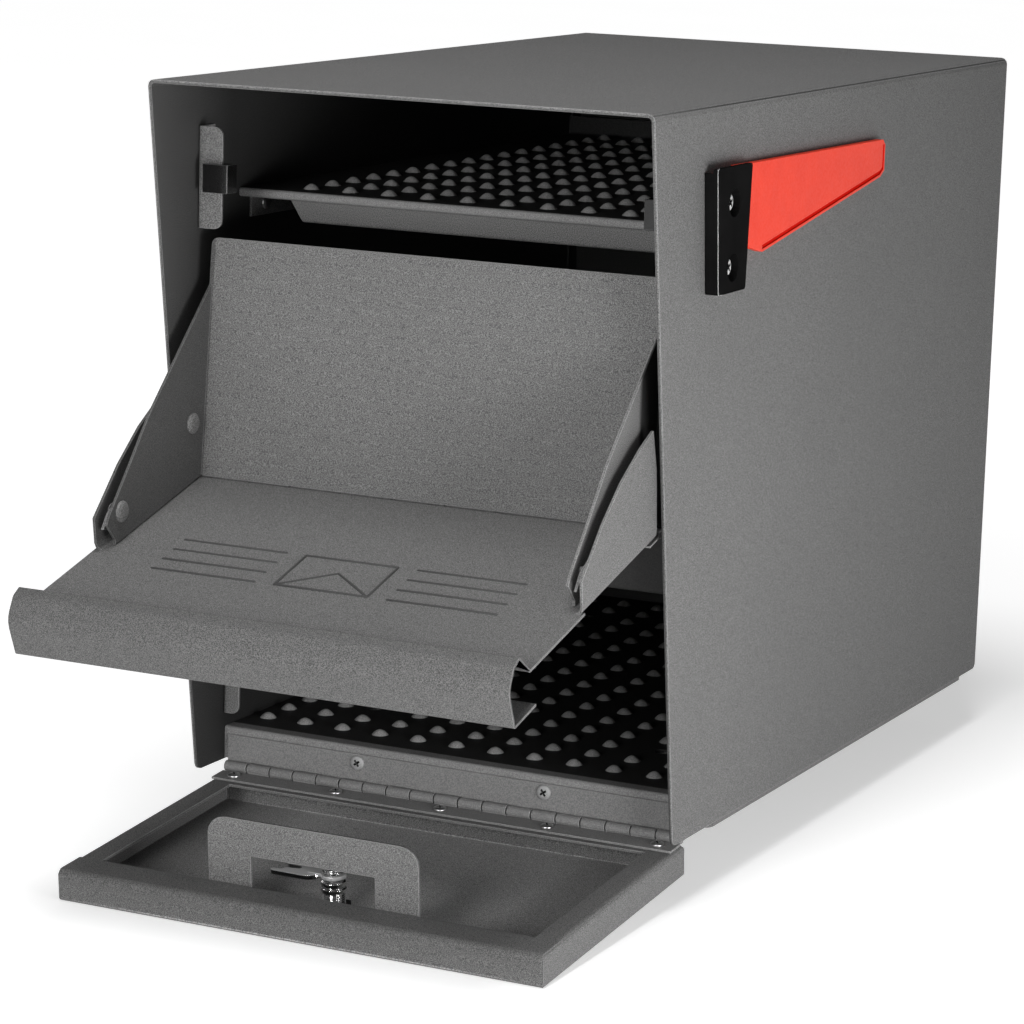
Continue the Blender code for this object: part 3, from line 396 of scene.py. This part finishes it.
# ---- finishes -----------------------------------------------------------------------------
class Nodes:
    """Short way to write a material's node tree."""

    def __init__(self, name):
        self.material = bpy.data.materials.new(name)
        self.material.use_nodes = True
        self.tree = self.material.node_tree
        self.shader = self.tree.nodes["Principled BSDF"]
        coordinates = self.tree.nodes.new("ShaderNodeTexCoord")
        self.space = coordinates.outputs["Object"]

    def node(self, kind, **settings):
        made = self.tree.nodes.new(kind)
        for key, value in settings.items():
            setattr(made, key, value)
        return made

    def link(self, output, socket):
        self.tree.links.new(output, socket)

    def noise(self, scale, detail=2.0, roughness=0.5, space=None):
        made = self.node("ShaderNodeTexNoise")
        made.inputs["Scale"].default_value = scale
        made.inputs["Detail"].default_value = detail
        made.inputs["Roughness"].default_value = roughness
        self.link(self.space if space is None else space, made.inputs["Vector"])
        return made.outputs["Fac"]

    def position(self):
        """x, y and z of the point, at rest, in metres."""
        made = self.node("ShaderNodeSeparateXYZ")
        self.link(self.space, made.inputs[0])
        return made.outputs

    def distance(self):
        made = self.node("ShaderNodeVectorMath", operation="LENGTH")
        self.link(self.space, made.inputs[0])
        return made.outputs["Value"]

    def remap(self, value, low, high, to_low, to_high):
        made = self.node("ShaderNodeMapRange")
        for name, number in (("From Min", low), ("From Max", high), ("To Min", to_low),
                             ("To Max", to_high)):
            made.inputs[name].default_value = number
        self.link(value, made.inputs["Value"])
        return made.outputs["Result"]

    def maths(self, operation, first, second):
        made = self.node("ShaderNodeMath", operation=operation)
        for socket, value in zip(made.inputs, (first, second)):
            if isinstance(value, (int, float)):
                socket.default_value = value
            else:
                self.link(value, socket)
        return made.outputs[0]

    def mix(self, factor, first, second):
        made = self.node("ShaderNodeMix", data_type="RGBA")
        sockets = (made.inputs["Factor"], made.inputs[6], made.inputs[7])
        for socket, value in zip(sockets, (factor, first, second)):
            if isinstance(value, (tuple, int, float)):
                socket.default_value = value
            else:
                self.link(value, socket)
        return made.outputs[2]

    def edge(self, radius):
        """Normal rounded over sharp edges, and how close a point is to such an edge."""
        rounded = self.node("ShaderNodeBevel", samples=6)
        rounded.inputs["Radius"].default_value = radius * MM
        geometry = self.node("ShaderNodeNewGeometry")
        dot = self.node("ShaderNodeVectorMath", operation="DOT_PRODUCT")
        self.link(rounded.outputs["Normal"], dot.inputs[0])
        self.link(geometry.outputs["Normal"], dot.inputs[1])
        return rounded.outputs["Normal"], self.remap(dot.outputs["Value"], 0.985, 0.8, 0.0, 1.0)

    def bump(self, height, distance, normal=None):
        made = self.node("ShaderNodeBump")
        made.inputs["Strength"].default_value = 1.0
        made.inputs["Distance"].default_value = distance * MM
        self.link(height, made.inputs["Height"])
        if normal is not None:
            self.link(normal, made.inputs["Normal"])
        return made.outputs["Normal"]

    def finish(self, colour, roughness, normal, metallic=0.0, **inputs):
        for name, value in (("Base Color", colour), ("Roughness", roughness),
                            ("Normal", normal), ("Metallic", metallic)):
            if isinstance(value, (tuple, int, float)):
                self.shader.inputs[name].default_value = value
            else:
                self.link(value, self.shader.inputs[name])
        for name, value in inputs.items():
            self.shader.inputs[name.replace("_", " ")].default_value = value
        return self.material


def grey(value, warmth=0.0):
    return value * (1 + warmth), value, value * (1 - warmth), 1.0


def powder_coat(name, tone, highlight_tone, grain, roughness, painted_shading=None, highlight_edges=None):
    """Textured powder coat: fine pebbled grain with lighter flecks, and a painted highlight on its
    edges.

    The first optional function gives a factor that scales the colour as painted light and shade,
    and the second one that limits which edges get the painted highlight."""
    n = Nodes(name)
    normal, edge = n.edge(COAT_EDGE)
    fleck = n.noise(FLECK_SCALE, 2.0, 0.6)
    cloud = n.noise(CLOUD_SCALE, 3.0, 0.55)
    base = n.mix(n.remap(fleck, *FLECK_SPREAD, 0.0, 1.0), grey(tone * (1 - grain)),
                 grey(tone * (1 + grain), 0.01))
    base = n.mix(n.remap(cloud, *NOISE_SPREAD, 0.0, CLOUD_DEPTH), base, grey(tone * 0.7))
    # painted highlight: edges are lightened towards the highlight tone
    coat_highlight = n.maths("MULTIPLY", edge, highlight_edges(n) if highlight_edges else 1.0)
    base = n.mix(coat_highlight, base, grey(highlight_tone))
    # painted light and shade: the colour is scaled by a factor read from the position
    if painted_shading:
        scaled = n.node("ShaderNodeVectorMath", operation="SCALE")
        n.link(base, scaled.inputs[0])
        n.link(painted_shading(n), scaled.inputs["Scale"])
        base = scaled.outputs["Vector"]
    pebble = n.noise(PEBBLE_SCALE, 3.0, 0.6)
    gloss = n.remap(pebble, *NOISE_SPREAD, roughness - 0.08, roughness + 0.1)
    return n.finish(base, gloss, n.bump(pebble, PEBBLE_HEIGHT, normal), Specular_IOR_Level=0.25)


def shade_behind_front(n):
    """Painted light on the flanges that face the doorway, painted shade on the sheets behind them.
    """
    y = n.position()["Y"]
    return n.remap(y, *FRONT_FLANGES_Y, FLANGE_LIGHT, BEHIND_FLANGE_SHADE)


def shade_inside_casing(n):
    """Painted shade deepening inside the casing, and painted shade towards the back and top of its
    flanks.
    """
    x, y, z = n.position()
    aside = n.maths("ABSOLUTE", x, 0.0)
    inside = n.maths("MULTIPLY", n.maths("LESS_THAN", aside, CASING_HALF),
                     n.maths("LESS_THAN", z, CASING_TOP))
    deep_shade = n.maths("MULTIPLY", inside, n.remap(y, *CASING_FADE, 0.0, CASING_SHADE))
    flank_shade = n.maths("ADD", n.remap(y, *FLANK_BACKWARDS, 0.0, FLANK_BACK_SHADE),
                   n.remap(z, *FLANK_UPWARDS, 0.0, FLANK_TOP_SHADE))
    flank = n.maths("MULTIPLY", n.maths("GREATER_THAN", aside, FLANK_FACE), flank_shade)
    return n.maths("SUBTRACT", 1.0, n.maths("ADD", deep_shade, flank))


def dark_beside_casing(n):
    """Painted shadow on the outer side of the baffle's flanges close to the casing, and painted
    shade on the far flange.
    """
    x, y, _ = n.position()
    fade = n.maths("MULTIPLY", n.maths("GREATER_THAN", x, BAFFLE_SIDE),
                   n.remap(y, *BAFFLE_FADE, 0.0, BAFFLE_SHADOW))
    far_flange = n.maths("MULTIPLY", n.maths("LESS_THAN", x, BAFFLE_FAR_X), BAFFLE_FAR_SHADE)
    return n.maths("SUBTRACT", 1.0, n.maths("ADD", fade, far_flange))


def shade_on_lip(n):
    """Painted shade on the front of the hopper's lip and inside its far wing."""
    x, y, _ = n.position()
    wing = n.maths("MULTIPLY", n.maths("LESS_THAN", x, FAR_WING_X),
                   n.maths("GREATER_THAN", y, FAR_WING_Y))
    shaded = n.maths("SUBTRACT", 1.0, n.maths("MULTIPLY", wing, FAR_WING_SHADE))
    return n.maths("MULTIPLY", shaded, n.remap(y, *LIP_FADE, FRONT_EDGE_SHADE, 1.0))


def hopper_rim(n):
    """Painted edge highlight only on the edges along the hopper's sides and its lip."""
    x, y, _ = n.position()
    beside = n.maths("GREATER_THAN", n.maths("ABSOLUTE", x, 0.0), HOPPER_RIM_X)
    return n.maths("MAXIMUM", beside, n.maths("LESS_THAN", y, HOPPER_LIP_Y))


def skin_distance(n):
    """Distance from the plane of the inner face of the lower door's skin."""
    skin = nodes["lower_door"].matrix_world.inverted() @ on_door(0.0, 0.0, DOOR_SKIN_LIFT)
    dot = n.node("ShaderNodeVectorMath", operation="DOT_PRODUCT")
    n.link(n.space, dot.inputs[0])
    dot.inputs[1].default_value = DOOR_NORMAL
    height = n.maths("SUBTRACT", dot.outputs["Value"], DOOR_NORMAL.dot(skin))
    return n.maths("ABSOLUTE", height, 0.0)


def door_light_and_shade(n):
    """Painted light amid the inner face of the door's skin, painted shade on the door's front."""
    x, y, _ = n.position()
    amid = n.remap(n.maths("ABSOLUTE", x, 0.0), *DOOR_SKIN_FADE, DOOR_SKIN_LIGHT - 1.0, 0.0)
    on_skin = n.remap(skin_distance(n), *SKIN_FACE, 1.0, 0.0)
    inner = n.maths("ADD", n.maths("MULTIPLY", amid, on_skin), 1.0)
    return n.maths("MULTIPLY", inner, n.remap(y, *DOOR_FRONT_FADE, FRONT_EDGE_SHADE, 1.0))


def door_rim(n):
    """Painted edge highlight only on the edges away from the skin's inner corners."""
    return n.remap(skin_distance(n), *SKIN_CORNER, 0.0, 1.0)


def steel(name, tone, roughness, metallic=1.0, scratch=0.25, edge_radius=0.3):
    """Metal with fine drawn scratches, dull patches and a painted highlight along its edges."""
    n = Nodes(name)
    normal, edge = n.edge(edge_radius)
    stretch = n.node("ShaderNodeMapping")
    stretch.inputs["Scale"].default_value = SCRATCH_STRETCH
    n.link(n.space, stretch.inputs["Vector"])
    drawn = n.noise(SCRATCH_SCALE, 3.0, space=stretch.outputs["Vector"])
    patch = n.noise(PATCH_SCALE, 3.0)
    base = n.mix(n.remap(drawn, *NOISE_SPREAD, 0.0, 1.0), grey(tone * (1 - scratch)), grey(tone))
    # painted highlight: edges are lightened
    base = n.mix(n.maths("MULTIPLY", edge, 0.8), base, grey(min(1.0, tone * 1.6)))
    gloss = n.remap(patch, *NOISE_SPREAD, roughness * 0.75, roughness * 1.3)
    return n.finish(base, gloss, n.bump(drawn, SCRATCH_HEIGHT, normal), metallic)


def moulded(name, colour, shade, lit, roughness, grain, gloss_level, shines=None):
    """Moulded plastic or rubber: faint mottling, slight orange peel and a painted highlight on its
    edges.

    shines maps the node tree to a factor that limits where the painted edge highlight goes."""
    n = Nodes(name)
    normal, edge = n.edge(MOULDED_EDGE)
    mottle = n.noise(MOTTLE_SCALE, 4.0, 0.6)
    peel = n.noise(grain, 2.0, 0.5)
    base = n.mix(n.remap(mottle, *NOISE_SPREAD, 0.0, 1.0), shade, colour)
    # painted highlight: edges are lightened towards the lit colour
    moulded_highlight = n.maths("MULTIPLY", edge, shines(n) if shines else 0.8)
    base = n.mix(moulded_highlight, base, lit)
    gloss = n.remap(peel, *NOISE_SPREAD, roughness * 0.8, roughness * 1.25)
    return n.finish(base, gloss, n.bump(peel, PEEL_HEIGHT, normal), Specular_IOR_Level=gloss_level)


def bracket_front(n):
    """Painted highlight only on the outer edge along the slanted front of the flag bracket."""
    x, y, z = n.position()
    level = n.maths("ADD", y, n.maths("MULTIPLY", z, FRONT_SLOPE))
    front = n.maths("LESS_THAN", level, BRACKET_FRONT_LEVEL)
    return n.maths("MULTIPLY", front, n.maths("GREATER_THAN", x, BRACKET_EDGE_X))


PLAIN_COAT = (0.125, 0.34, 0.60, 0.60)  # tone, tone of the painted edge highlight, grain, roughness

FINISHES = {
    "powder_coat": powder_coat("powder_coat", *PLAIN_COAT),
    "shell_coat": powder_coat("shell_coat", *PLAIN_COAT, shade_inside_casing),
    "hopper_coat": powder_coat("hopper_coat", *PLAIN_COAT, shade_on_lip, hopper_rim),
    "baffle_coat": powder_coat("baffle_coat", *PLAIN_COAT, dark_beside_casing),
    "door_coat": powder_coat("door_coat", *PLAIN_COAT, door_light_and_shade, door_rim),
    "inner_coat": powder_coat("inner_coat", 0.125, 0.30, 0.35, 0.60, shade_behind_front),
    # painted shade: a near-black coat for a part that lies in shadow
    "deep_coat": powder_coat("deep_coat", 0.022, 0.06, 0.30, 0.60),
    # painted shade: a dark coat for the shade along the emblem's pressed ridges
    "rib_coat": powder_coat("rib_coat", 0.050, 0.05, 0.30, 0.60),
    # painted light: a lighter coat for the dimples, which catch the light
    "worn_coat": powder_coat("worn_coat", 0.250, 0.30, 0.30, 0.42),
    "hinge_steel": powder_coat("hinge_steel", 0.165, 0.32, 0.30, 0.45),
    "screw_steel": steel("screw_steel", 0.55, 0.32),
    "chrome": steel("chrome", 0.80, 0.10, 1.0, 0.08),
    # painted light: a lighter, partly diffuse steel for the flat faces of the cam's fork
    "cam_steel": steel("cam_steel", 0.55, 0.30, 0.45, 0.1, 0.6),
    "plated_screw": steel("plated_screw", 0.34, 0.55, 0.35),
    "bright_screw": steel("bright_screw", 0.85, 0.50, 0.35, 0.5),
    "black_plastic": moulded("black_plastic", grey(0.007), grey(0.005), grey(1.0), 0.20, 420.0,
                             0.0, bracket_front),
    "black_rubber": moulded("black_rubber", grey(0.004), grey(0.003), grey(0.16), 0.16, 900.0,
                            0.5),
    "red_plastic": moulded("red_plastic", (0.66, 0.040, 0.016, 1), (0.60, 0.031, 0.012, 1),
                           (0.80, 0.075, 0.040, 1), 0.38, 700.0, 0.08),
    # painted shade: a darker red for the faces of the flag's grooves
    "red_groove": moulded("red_groove", (0.50, 0.010, 0.006, 1), (0.46, 0.008, 0.005, 1),
                          (0.50, 0.010, 0.006, 1), 0.5, 700.0, 0.0),
}

NODE_FINISHES = {
    "outer_shell": "shell_coat",
    "lower_door": "door_coat",
    "baffle": "baffle_coat",
    "hopper_door": "hopper_coat",
    # painted shade: the crossbar in shadow wears a near-black coat
    "latch_crossbar": "deep_coat",
    "shelf_stiffener": "powder_coat",
    "shelf_rail_left": "powder_coat",
}


def dress_cad_nodes():
    """Give every CAD node the finish of its material slot, and some nodes one of their own."""
    slots = {m["slot"] for m in frame["record"]["materials"]}
    for obj in nodes.values():
        for index, material in enumerate(obj.data.materials):
            name = material.name.split(".")[0]
            if name not in slots:
                raise SystemExit(f"unknown slot {name} on {obj.name}")
            obj.data.materials[index] = FINISHES[name]
    for node, finish in NODE_FINISHES.items():
        nodes[node].data.materials[0] = FINISHES[finish]


def soften_cad_nodes():
    soften(nodes["lock_nut"], LOCK_NUT_BEVEL)
    for side in ("left", "right"):
        soften(nodes[f"stop_bumper_{side}"], BUMPER_BEVEL, 3)


# ---- pieces -------------------------------------------------------------------------------
def dimple_field(name, surface, first_row, columns):
    """Rows of pressed dimples standing on a sheet that parcels slide over."""
    bm = bmesh.new()
    middle = (columns - 1) / 2
    for row in range(DIMPLE_ROWS):
        back = first_row + row * DIMPLE_ROW_PITCH
        for column in range(columns):
            x = (column - middle) * DIMPLE_PITCH
            if surface == FLOOR_TOP and any(math.hypot(x - a, back - b) < BOLT_CLEARANCE
                                            for a, b in POST_BOLTS):
                continue
            spot = Matrix.Translation(place(x, back, surface))
            lathe(bm, DIMPLE_PROFILE, DIMPLE_SIDES, spot)
    # Painted light: the dimples wear a lighter coat than the sheet they stand on.
    new_piece(name, bm, "root", "inner_coat", "worn_coat")


def cross_screw(name, seat, normal, size, node, body, finish):
    """Pan head screw with a cross recess, standing in for the CAD's plain one."""
    (radius, height), (shank_radius, shank_length) = size
    turn = Matrix.Translation(seat) @ axes_for(normal) @ Matrix.Rotation(RECESS_TURN, 4, "Z")
    profile = [(shank_radius, -shank_length), (shank_radius, 0.0), (radius, 0.0)]
    profile += [(radius * out, height * up) for out, up in HEAD_ROUNDING] + [(0.0, height)]
    bm = bmesh.new()
    lathe(bm, profile, HEAD_SIDES, turn)
    screw = new_piece(name, bm, body, "screw_steel", finish)
    wide = radius * RECESS_HALF_WIDTH
    arm = radius * RECESS_ARM
    top = height * RECESS_CLEAR
    bottom = height * RECESS_FLOOR
    tapered = [(-arm, top), (arm, top), (arm * RECESS_TAPER, bottom),
               (-arm * RECESS_TAPER, bottom)]
    # Painted shade: the faces the recess cuts take the near-black rubber finish.
    for quarter in (0, math.pi / 2):
        bm = bmesh.new()
        spun = turn @ Matrix.Rotation(quarter, 4, "Z")
        prism(bm, tapered, -wide, wide, lambda a, b, depth: spun @ (Vector((a, depth, b)) * MM))
        cut_with(screw, loose_cutter(bm), "black_rubber")
    screw.data.set_sharp_from_angle(angle=math.radians(SHARP_ANGLE))
    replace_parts(screw, node)


def all_screws():
    for k, spot in enumerate(FLANGE_SCREWS):
        cross_screw(f"hinge_cross_screw_{k + 1}", place(*spot), (0, -1, 0), FLANGE_SCREW,
                    f"flange_screw_{k + 1}", "root", "plated_screw")
    for k, x in enumerate(LEAF_SCREW_X):
        seat = on_door(x, LEAF_SCREW_ALONG, LEAF_SCREW_SEAT)
        cross_screw(f"leaf_cross_screw_{k + 1}", seat, DOOR_NORMAL, LEAF_SCREW,
                    f"leaf_screw_{k + 1}", "lower_door", "screw_steel")
    for k, spot in enumerate(FLAG_SCREWS):
        cross_screw(f"flag_cross_screw_{k + 1}", place(*spot), (1, 0, 0), FLAG_SCREW,
                    f"flag_screw_{k + 1}", "root", "bright_screw")


def inset_path(points, distance):
    """Open path moved sideways by a distance, keeping its corners mitred."""
    moved = []
    for k, point in enumerate(points):
        here = Vector(point)
        arms = []
        if k > 0:
            arms.append((here - Vector(points[k - 1])).normalized())
        if k < len(points) - 1:
            arms.append((Vector(points[k + 1]) - here).normalized())
        sides = [Vector((-arm.y, arm.x)) for arm in arms]
        middle = sum(sides, Vector((0, 0))).normalized()
        moved.append(here + middle * (distance / middle.dot(sides[0])))
    return moved


def flag():
    """Moulded flag: a flat blade with a fine groove inside its outer edges, and a hub."""
    blade = new_piece("signal_flag", side_prism(FLAG_OUTLINE, FLAG_BACK_X, FLAG_FRONT_X), "flag",
                      "red_plastic")
    hub = circle(FLAG_PIVOT, FLAG_HUB_RADIUS, 40)
    join_with(blade, loose_cutter(side_prism(hub, FLAG_BACK_X, FLAG_FRONT_X)))
    bore = circle(FLAG_PIVOT, FLAG_BORE_RADIUS, 32)
    cut_with(blade, loose_cutter(side_prism(bore, FLAG_BACK_X - 2, FLAG_FRONT_X + 2)))
    outer = inset_path(FLAG_RIM, -FLAG_GROOVE_IN)
    inner = inset_path(FLAG_RIM, -FLAG_GROOVE_IN - FLAG_GROOVE_WIDE)
    groove = [tuple(point) for point in outer + inner[::-1]]
    # Painted shade: the grooves' faces take a darker red finish.
    for level in (FLAG_FRONT_X, FLAG_BACK_X):
        cutter = side_prism(groove, level - FLAG_GROOVE_DEEP, level + FLAG_GROOVE_DEEP)
        cut_with(blade, loose_cutter(cutter), "red_groove")
    soften(blade, FLAG_BEVEL)
    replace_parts(blade, "flag")


def lock_parts():
    """Threaded barrel, and the washer, nut and screw end stacked on the forked cam."""
    profile = [(radius, LOCK_RIM_LIFT + up) for radius, up in BARREL_RIM] + BARREL_COLLARS
    lift = BARREL_COLLARS[-1][1] - THREAD_PITCH / 2
    while lift > BARREL_THREAD_END:
        profile += [(THREAD_CREST, lift), (THREAD_ROOT, lift - THREAD_PITCH / 2)]
        lift -= THREAD_PITCH
    flange_radius, flange_thick = BARREL_FLANGE
    profile += [(BARREL_RADIUS, lift), (BARREL_RADIUS, LOCK_RIM_LIFT + flange_thick),
                (flange_radius, LOCK_RIM_LIFT + flange_thick)]
    bm = bmesh.new()
    lathe(bm, profile, 36, LOCK_AXES, closed=True)
    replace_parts(new_piece("threaded_barrel", bm, "lower_door", "chrome"), "lock_barrel")
    bm = bmesh.new()
    lathe(bm, CAM_STACK, 32, LOCK_AXES)
    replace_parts(new_piece("cam_fixing_stack", bm, "lock_cam", "chrome"), "cam_nut")


def fork_point(x, side, rise):
    """Point of the cam's fork, whose plane leans towards the front of the door."""
    along = LOCK_AT + side * math.cos(FORK_LEAN) + rise * math.sin(FORK_LEAN)
    return on_door(x, along, FORK_LIFT - side * math.sin(FORK_LEAN) + rise * math.cos(FORK_LEAN))


def lock_fork():
    """Cam: a ring on the spindle and a leaning, two-pronged fork."""
    turns = (math.pi * (k / FORK_ROOT_STEPS - 0.5) for k in range(FORK_ROOT_STEPS + 1))
    root = [(FORK_ROOT_X + FORK_HALF * math.cos(a), FORK_HALF * math.sin(a)) for a in turns]
    bm = bmesh.new()
    prism(bm, root + FORK_PRONGS, -FORK_THICK / 2, FORK_THICK / 2, fork_point)
    fork = new_piece("forked_cam", bm, "lock_cam", "chrome", "cam_steel")
    # Painted light and shade: the fork's flat faces take the lighter cam finish, its thin sides
    # the darker chrome.
    fork.data.materials.append(FINISHES["chrome"])
    flat = (fork_point(0, 0, 1) - fork_point(0, 0, 0)).normalized()
    for polygon in fork.data.polygons:
        polygon.material_index = int(abs(polygon.normal.dot(flat)) < 0.5)
    neck = bmesh.new()
    prism(neck, FORK_NECK, -FORK_NECK_HALF, FORK_NECK_HALF,
          lambda x, lift, across: on_door(x, LOCK_AT + across, lift))
    ring = bmesh.new()
    lathe(ring, FORK_RING, 32, LOCK_AXES, closed=True)
    for part in (neck, ring):
        join_with(fork, loose_cutter(part))
    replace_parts(fork, "lock_cam")


def ridge(bm, start, end, size):
    """Raised line pressed into the hopper panel, with tapered ends."""
    half, height = size
    first = Vector(start)
    last = Vector(end)
    along = (last - first).normalized()
    side = Vector((-along.y, along.x))
    rings = []
    for centre, width, rise in ((first - along * half, *RIDGE_END), (first, 1.0, 1.0),
                                (last, 1.0, 1.0), (last + along * half, *RIDGE_END)):
        ring = []
        for across, lift in RIDGE_SECTION:
            spot = centre + side * across * half * width
            level = lift * height * rise if lift > 0 else lift
            ring.append(bm.verts.new(on_hopper(spot.x, spot.y, level)))
        rings.append(ring)
    count = len(RIDGE_SECTION)
    for low, high in zip(rings, rings[1:]):
        for k in range(count):
            n = (k + 1) % count
            bm.faces.new((low[k], low[n], high[n], high[k]))
    bm.faces.new(rings[0])
    bm.faces.new(rings[-1])


def hopper_emblem():
    """Plain pressed envelope between two groups of ribs."""
    bm = bmesh.new()
    low, high = EMBLEM_ALONG
    half = EMBLEM_HALF
    corners = [(-half, low), (half, low), (half, high), (-half, high)]
    for k in range(4):
        ridge(bm, corners[k], corners[(k + 1) % 4], OUTLINE_RIDGE)
    middle = (0.0, low + (high - low) * EMBLEM_FLAP)
    ridge(bm, (-half, high), middle, FLAP_RIDGE)
    ridge(bm, (half, high), middle, FLAP_RIDGE)
    for row in range(EMBLEM_RIBS):
        along = low + (high - low) * row / (EMBLEM_RIBS - 1)
        for sign in (-1, 1):
            ridge(bm, (sign * (half + EMBLEM_RIB_GAP), along), (sign * EMBLEM_RIB_END, along),
                  RIB_RIDGE)
    # Painted shade: the pressed ridges wear a dark coat for the shade along their flanks.
    new_piece("pressed_emblem", bm, "hopper", "powder_coat", "rib_coat")


def door_front_flange():
    """The front wall's flange, lapped over the side flanges and bent down at the front."""
    bm = bmesh.new()
    half = DOOR_HALF_WIDTH - LAPPED_FLANGE_INSET
    prism(bm, LAPPED_FLANGE, -half, half, lambda along, lift, x: on_door(x, along, lift))
    flange = new_piece("lapped_front_flange", bm, "lower_door", "powder_coat", "door_coat")
    soften(flange, FLANGE_BEVEL)


dress_cad_nodes()
soften_cad_nodes()
all_screws()
flag()
lock_parts()
lock_fork()
hopper_emblem()
door_front_flange()
dimple_field("floor_dimples", FLOOR_TOP, FLOOR_FIRST_ROW, FLOOR_COLUMNS)
dimple_field("shelf_dimples", SHELF_TOP, SHELF_FIRST_ROW, SHELF_COLUMNS)

# ---- studio -------------------------------------------------------------------------------
CAMERA_PLACE = (0.9247, -2.0673, 0.5709)
CAMERA_TURN = (78.92, -1.63, 26.24)
CAMERA_LENS = 130.19
SENSOR = 36.0
CAMERA_REACH = 50.0

# name, place, target, width, height, watts
SOFTBOXES = [("key", (0.88, -0.72, 0.08), (0.15, -0.26, 0.12), 0.4, 0.4, 9.0),
             ("fill", (-0.05, -2.4, 0.62), (0.0, -0.3, 0.15), 0.8, 0.6, 26.0),
             ("overhead", (0.1, -0.6, 1.9), (0.0, -0.15, 0.4), 0.8, 0.8, 25.0)]
WORLD_LIGHT = 0.16

FLOOR_HALF = 40.0
FLOOR_GAP = 0.0004
FLOOR_GLOW = (0.42, 0.85)  # near the object, and from GLOW_RANGE's end outwards
GLOW_RANGE = (0.45, 1.6)


def camera():
    data = bpy.data.cameras.new("camera")
    data.lens = CAMERA_LENS
    data.sensor_width = SENSOR
    data.clip_end = CAMERA_REACH
    obj = bpy.data.objects.new("camera", data)
    obj.location = CAMERA_PLACE
    obj.rotation_euler = Euler([math.radians(angle) for angle in CAMERA_TURN])
    add_to_scene(obj)
    bpy.context.scene.camera = obj


def softbox(name, spot, target, width, height, watts):
    data = bpy.data.lights.new(name, "AREA")
    data.shape = "RECTANGLE"
    data.size = width
    data.size_y = height
    data.energy = watts
    obj = bpy.data.objects.new(name, data)
    obj.location = spot
    obj.rotation_euler = (Vector(target) - Vector(spot)).to_track_quat("-Z", "Y").to_euler()
    obj.visible_camera = False
    add_to_scene(obj)


def floor(level):
    """Pale studio floor that fills any view, glowing towards white away from the object."""
    mesh = bpy.data.meshes.new("floor")
    signs = ((-1, -1), (1, -1), (1, 1), (-1, 1))
    corners = [(a * FLOOR_HALF, b * FLOOR_HALF, level) for a, b in signs]
    mesh.from_pydata(corners, [], [(0, 1, 2, 3)])
    n = Nodes("floor")
    base = n.mix(n.remap(n.noise(2.0), *NOISE_SPREAD, 0.0, 1.0), grey(0.86), grey(0.90))
    n.finish(base, 0.8, n.bump(n.noise(300.0), 0.02), Emission_Color=(1, 1, 1, 1))
    n.link(n.remap(n.distance(), *GLOW_RANGE, *FLOOR_GLOW), n.shader.inputs["Emission Strength"])
    mesh.materials.append(n.material)
    obj = bpy.data.objects.new("floor", mesh)
    add_to_scene(obj)


def world():
    background = bpy.data.worlds.new("studio")
    background.use_nodes = True
    shade = background.node_tree.nodes["Background"]
    shade.inputs["Color"].default_value = (1, 1, 1, 1)
    shade.inputs["Strength"].default_value = WORLD_LIGHT
    bpy.context.scene.world = background


camera()
world()
floor(cad_box[0][2] - FLOOR_GAP)
for light in SOFTBOXES:
    softbox(*light)
bpy.context.scene.view_settings.view_transform = "Standard"
